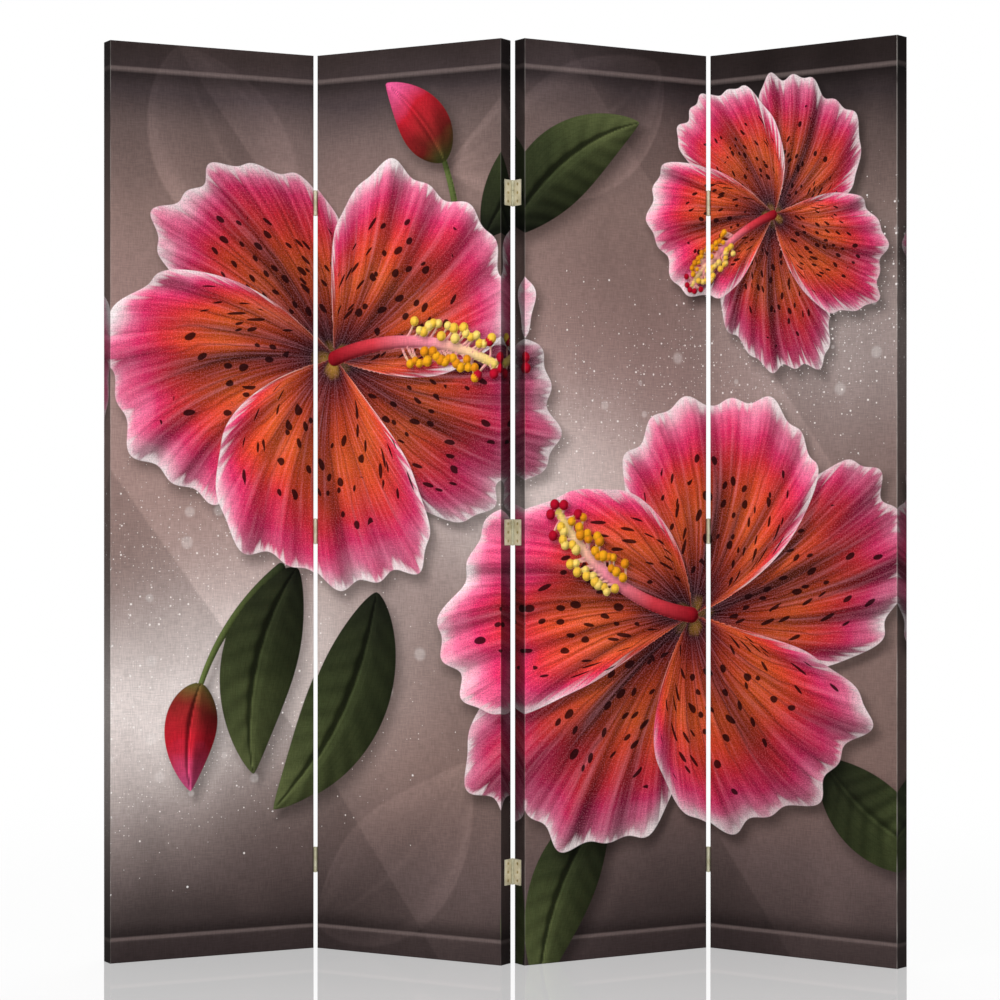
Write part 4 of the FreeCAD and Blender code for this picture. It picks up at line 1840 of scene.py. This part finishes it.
@dataclass
class Studio:
    """Camera, soft lamps, white surroundings and a pale floor with a faint reflection."""

    eye: tuple[float, float, float] = (-0.0048, -4.7364, 0.7530)
    focal_pixels: float = 2873.7
    picture_pixels: float = 1000.0
    sensor: float = 36.0
    floor_radius: float = 40.0
    floor_rings: int = 24
    floor_turns: int = 64
    floor_glow: float = 0.8
    floor_ior: float = 2.0
    ambient: float = 0.62
    floor_shine: float = 0.015
    polished_to: float = 0.9
    white_from: float = 3.0
    lamp_size: float = 2.6
    aim: tuple[float, float, float] = (0.0, 0.0, 0.75)

    # Name, place and power in watts of each lamp.
    LAMPS = (
        ("key", (-2.6, -3.6, 3.4), 88.0),
        ("fill", (3.0, -3.6, 2.0), 44.0),
        ("rear", (0.8, 4.0, 3.0), 66.0),
    )

    def build(self) -> None:
        """Sets up everything that isn't the screen."""
        bpy.context.scene.view_settings.view_transform = "Standard"
        self.camera()
        for name, place, power in self.LAMPS:
            self.lamp(name, place, power)
        self.surroundings()
        self.floor()

    def camera(self) -> None:
        """Puts the camera level before the screen."""
        lens = bpy.data.cameras.new("camera")
        lens.sensor_width = self.sensor
        lens.lens = self.focal_pixels / self.picture_pixels * self.sensor
        lens.clip_end = 200.0
        camera = bpy.data.objects.new("camera", lens)
        camera.location = self.eye
        camera.rotation_euler = (math.radians(90.0), 0.0, 0.0)
        bpy.context.scene.collection.objects.link(camera)
        bpy.context.scene.camera = camera

    def lamp(self, name: str, place: tuple[float, float, float], power: float) -> None:
        """Hangs a square soft lamp that faces the middle of the screen.

        Args:
            name: The lamp's name.
            place: Where it hangs.
            power: Power in watts.
        """
        light = bpy.data.lights.new(name, "AREA")
        light.size = self.lamp_size
        light.energy = power
        lamp = bpy.data.objects.new(name, light)
        lamp.location = place
        lamp.rotation_euler = (Vector(self.aim) - Vector(place)).to_track_quat("-Z", "Y").to_euler()
        bpy.context.scene.collection.objects.link(lamp)

    def surroundings(self) -> None:
        """Lights the scene from all round, and shows white to the camera and to reflections."""
        world = bpy.data.worlds.new("surroundings")
        world.use_nodes = True
        bpy.context.scene.world = world
        bench = NodeBench(world.node_tree)
        background = next(node for node in world.node_tree.nodes if node.type == "BACKGROUND")
        background.inputs["Color"].default_value = WHITE
        seen = self.seen(bench)
        bench.plug(bench.scaled(seen, 1.0 - self.ambient, self.ambient), background.inputs["Strength"])

    def seen(self, bench: NodeBench) -> Socket:
        """Tells rays that show the background, straight or reflected, from rays that light the scene.

        Args:
            bench: Nodes of the world or of the floor.

        Returns:
            1 on a ray from the camera, a reflection or a see-through piece, and 0 on others.
        """
        path = bench.add("ShaderNodeLightPath").outputs
        seen = bench.math("MAXIMUM", path["Is Camera Ray"], path["Is Glossy Ray"])
        return bench.math("MAXIMUM", seen, path["Is Transmission Ray"])

    def floor(self) -> None:
        """Lays a round pale floor, polished near the screen and white far away."""
        rings = np.concatenate([[0.0], np.geomspace(0.5, self.floor_radius, self.floor_rings)])
        turns = np.linspace(0.0, 2.0 * np.pi, self.floor_turns + 1)
        radius, angle = (values.ravel() for values in np.meshgrid(rings, turns))
        points = np.column_stack([radius * np.cos(angle), radius * np.sin(angle), np.zeros(len(radius))])
        floor = make_piece("floor", points, grid_faces(len(rings) - 1, len(turns) - 1))
        floor.data.materials.append(self.floor_finish())

    def floor_finish(self) -> bpy.types.Material:
        """Makes the floor's material: matt with a glow for rays that show it, a sheen, and white far off.

        Returns:
            The material.
        """
        material, bench, matt = bare_material("floor")
        output = next(node for node in material.node_tree.nodes if node.type == "OUTPUT_MATERIAL")
        matt.inputs["Base Color"].default_value = paint("f2f2f2")
        matt.inputs["Roughness"].default_value = 0.9
        matt.inputs["Specular IOR Level"].default_value = 0.0
        mirror = bench.add("ShaderNodeBsdfGlossy")
        mirror.inputs["Roughness"].default_value = self.floor_shine
        mirror.inputs["Color"].default_value = WHITE
        sheen = bench.add("ShaderNodeFresnel")
        sheen.inputs["IOR"].default_value = self.floor_ior
        glow = bench.add("ShaderNodeEmission")
        glow.inputs["Color"].default_value = WHITE
        seen = self.seen(bench)
        pale = bench.layered(bench.scaled(seen, self.floor_glow), matt.outputs[0], glow.outputs[0])
        polished = bench.layered(sheen.outputs[0], pale, mirror.outputs[0])
        place = bench.add("ShaderNodeTexCoord").outputs["Object"]
        white = bench.product(bench.rise(bench.length(place), self.polished_to, self.white_from), seen)
        bench.plug(bench.layered(white, polished, glow.outputs[0]), output.inputs["Surface"])
        return material


def pin_places() -> tuple[tuple[float, float], ...]:
    """Finds where the hinge pins stand, seen from above, as the middles of their boxes."""
    boxes = [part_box(f"hinge_{hinge}_pins") for hinge in range(1, HINGE_COUNT + 1)]
    return tuple((0.5 * (low.x + high.x), 0.5 * (low.y + high.y)) for low, high in boxes)


def main() -> None:
    """Builds the screen's cloths, dresses its solids and sets up the studio."""
    logging.basicConfig(level=logging.INFO, format="%(name)s: %(message)s")
    Studio().build()
    log.info("studio ready")
    hardware = Hardware(
        pine=PineFinish().make(),
        hinge_brass=MetalFinish(
            "hinge_brass", "e9e2cc", "cbc2a4", 0.50, (60.0, 60.0, 1500.0), 0.5, pin_places()
        ).make(),
        screw_brass=MetalFinish("screw_brass", "cdbf92", "a5966a", 0.36, (700.0, 700.0, 700.0)).make(),
        pin_steel=MetalFinish("pin_steel", "c9c6bd", "a29e95", 0.32, (90.0, 90.0, 1600.0)).make(),
        staple_steel=MetalFinish("staple_steel", "d2d3d6", "a7a8ac", 0.34, (500.0, 500.0, 500.0)).make(),
    )
    log.info("dressed %d solids", hardware.dress())
    canvas_finish = PrintedCanvasFinish().make()
    back_finish = BackClothFinish().make()
    places = [PanelPlace.read(number) for number in range(1, PANEL_COUNT + 1)]
    design = PrintDesign(places[0].height / MM)
    for place in places:
        canvas = CanvasWrap(place, design, canvas_finish, fold_highlight=FOLD_HIGHLIGHTS[place.number])
        for maker in (canvas, BackCover(place, back_finish)):
            piece = maker.build()
            maker.hand_over(piece)
            log.info("%s: %d faces", piece.name, len(piece.data.polygons))


if __name__ == "__main__":
    main()
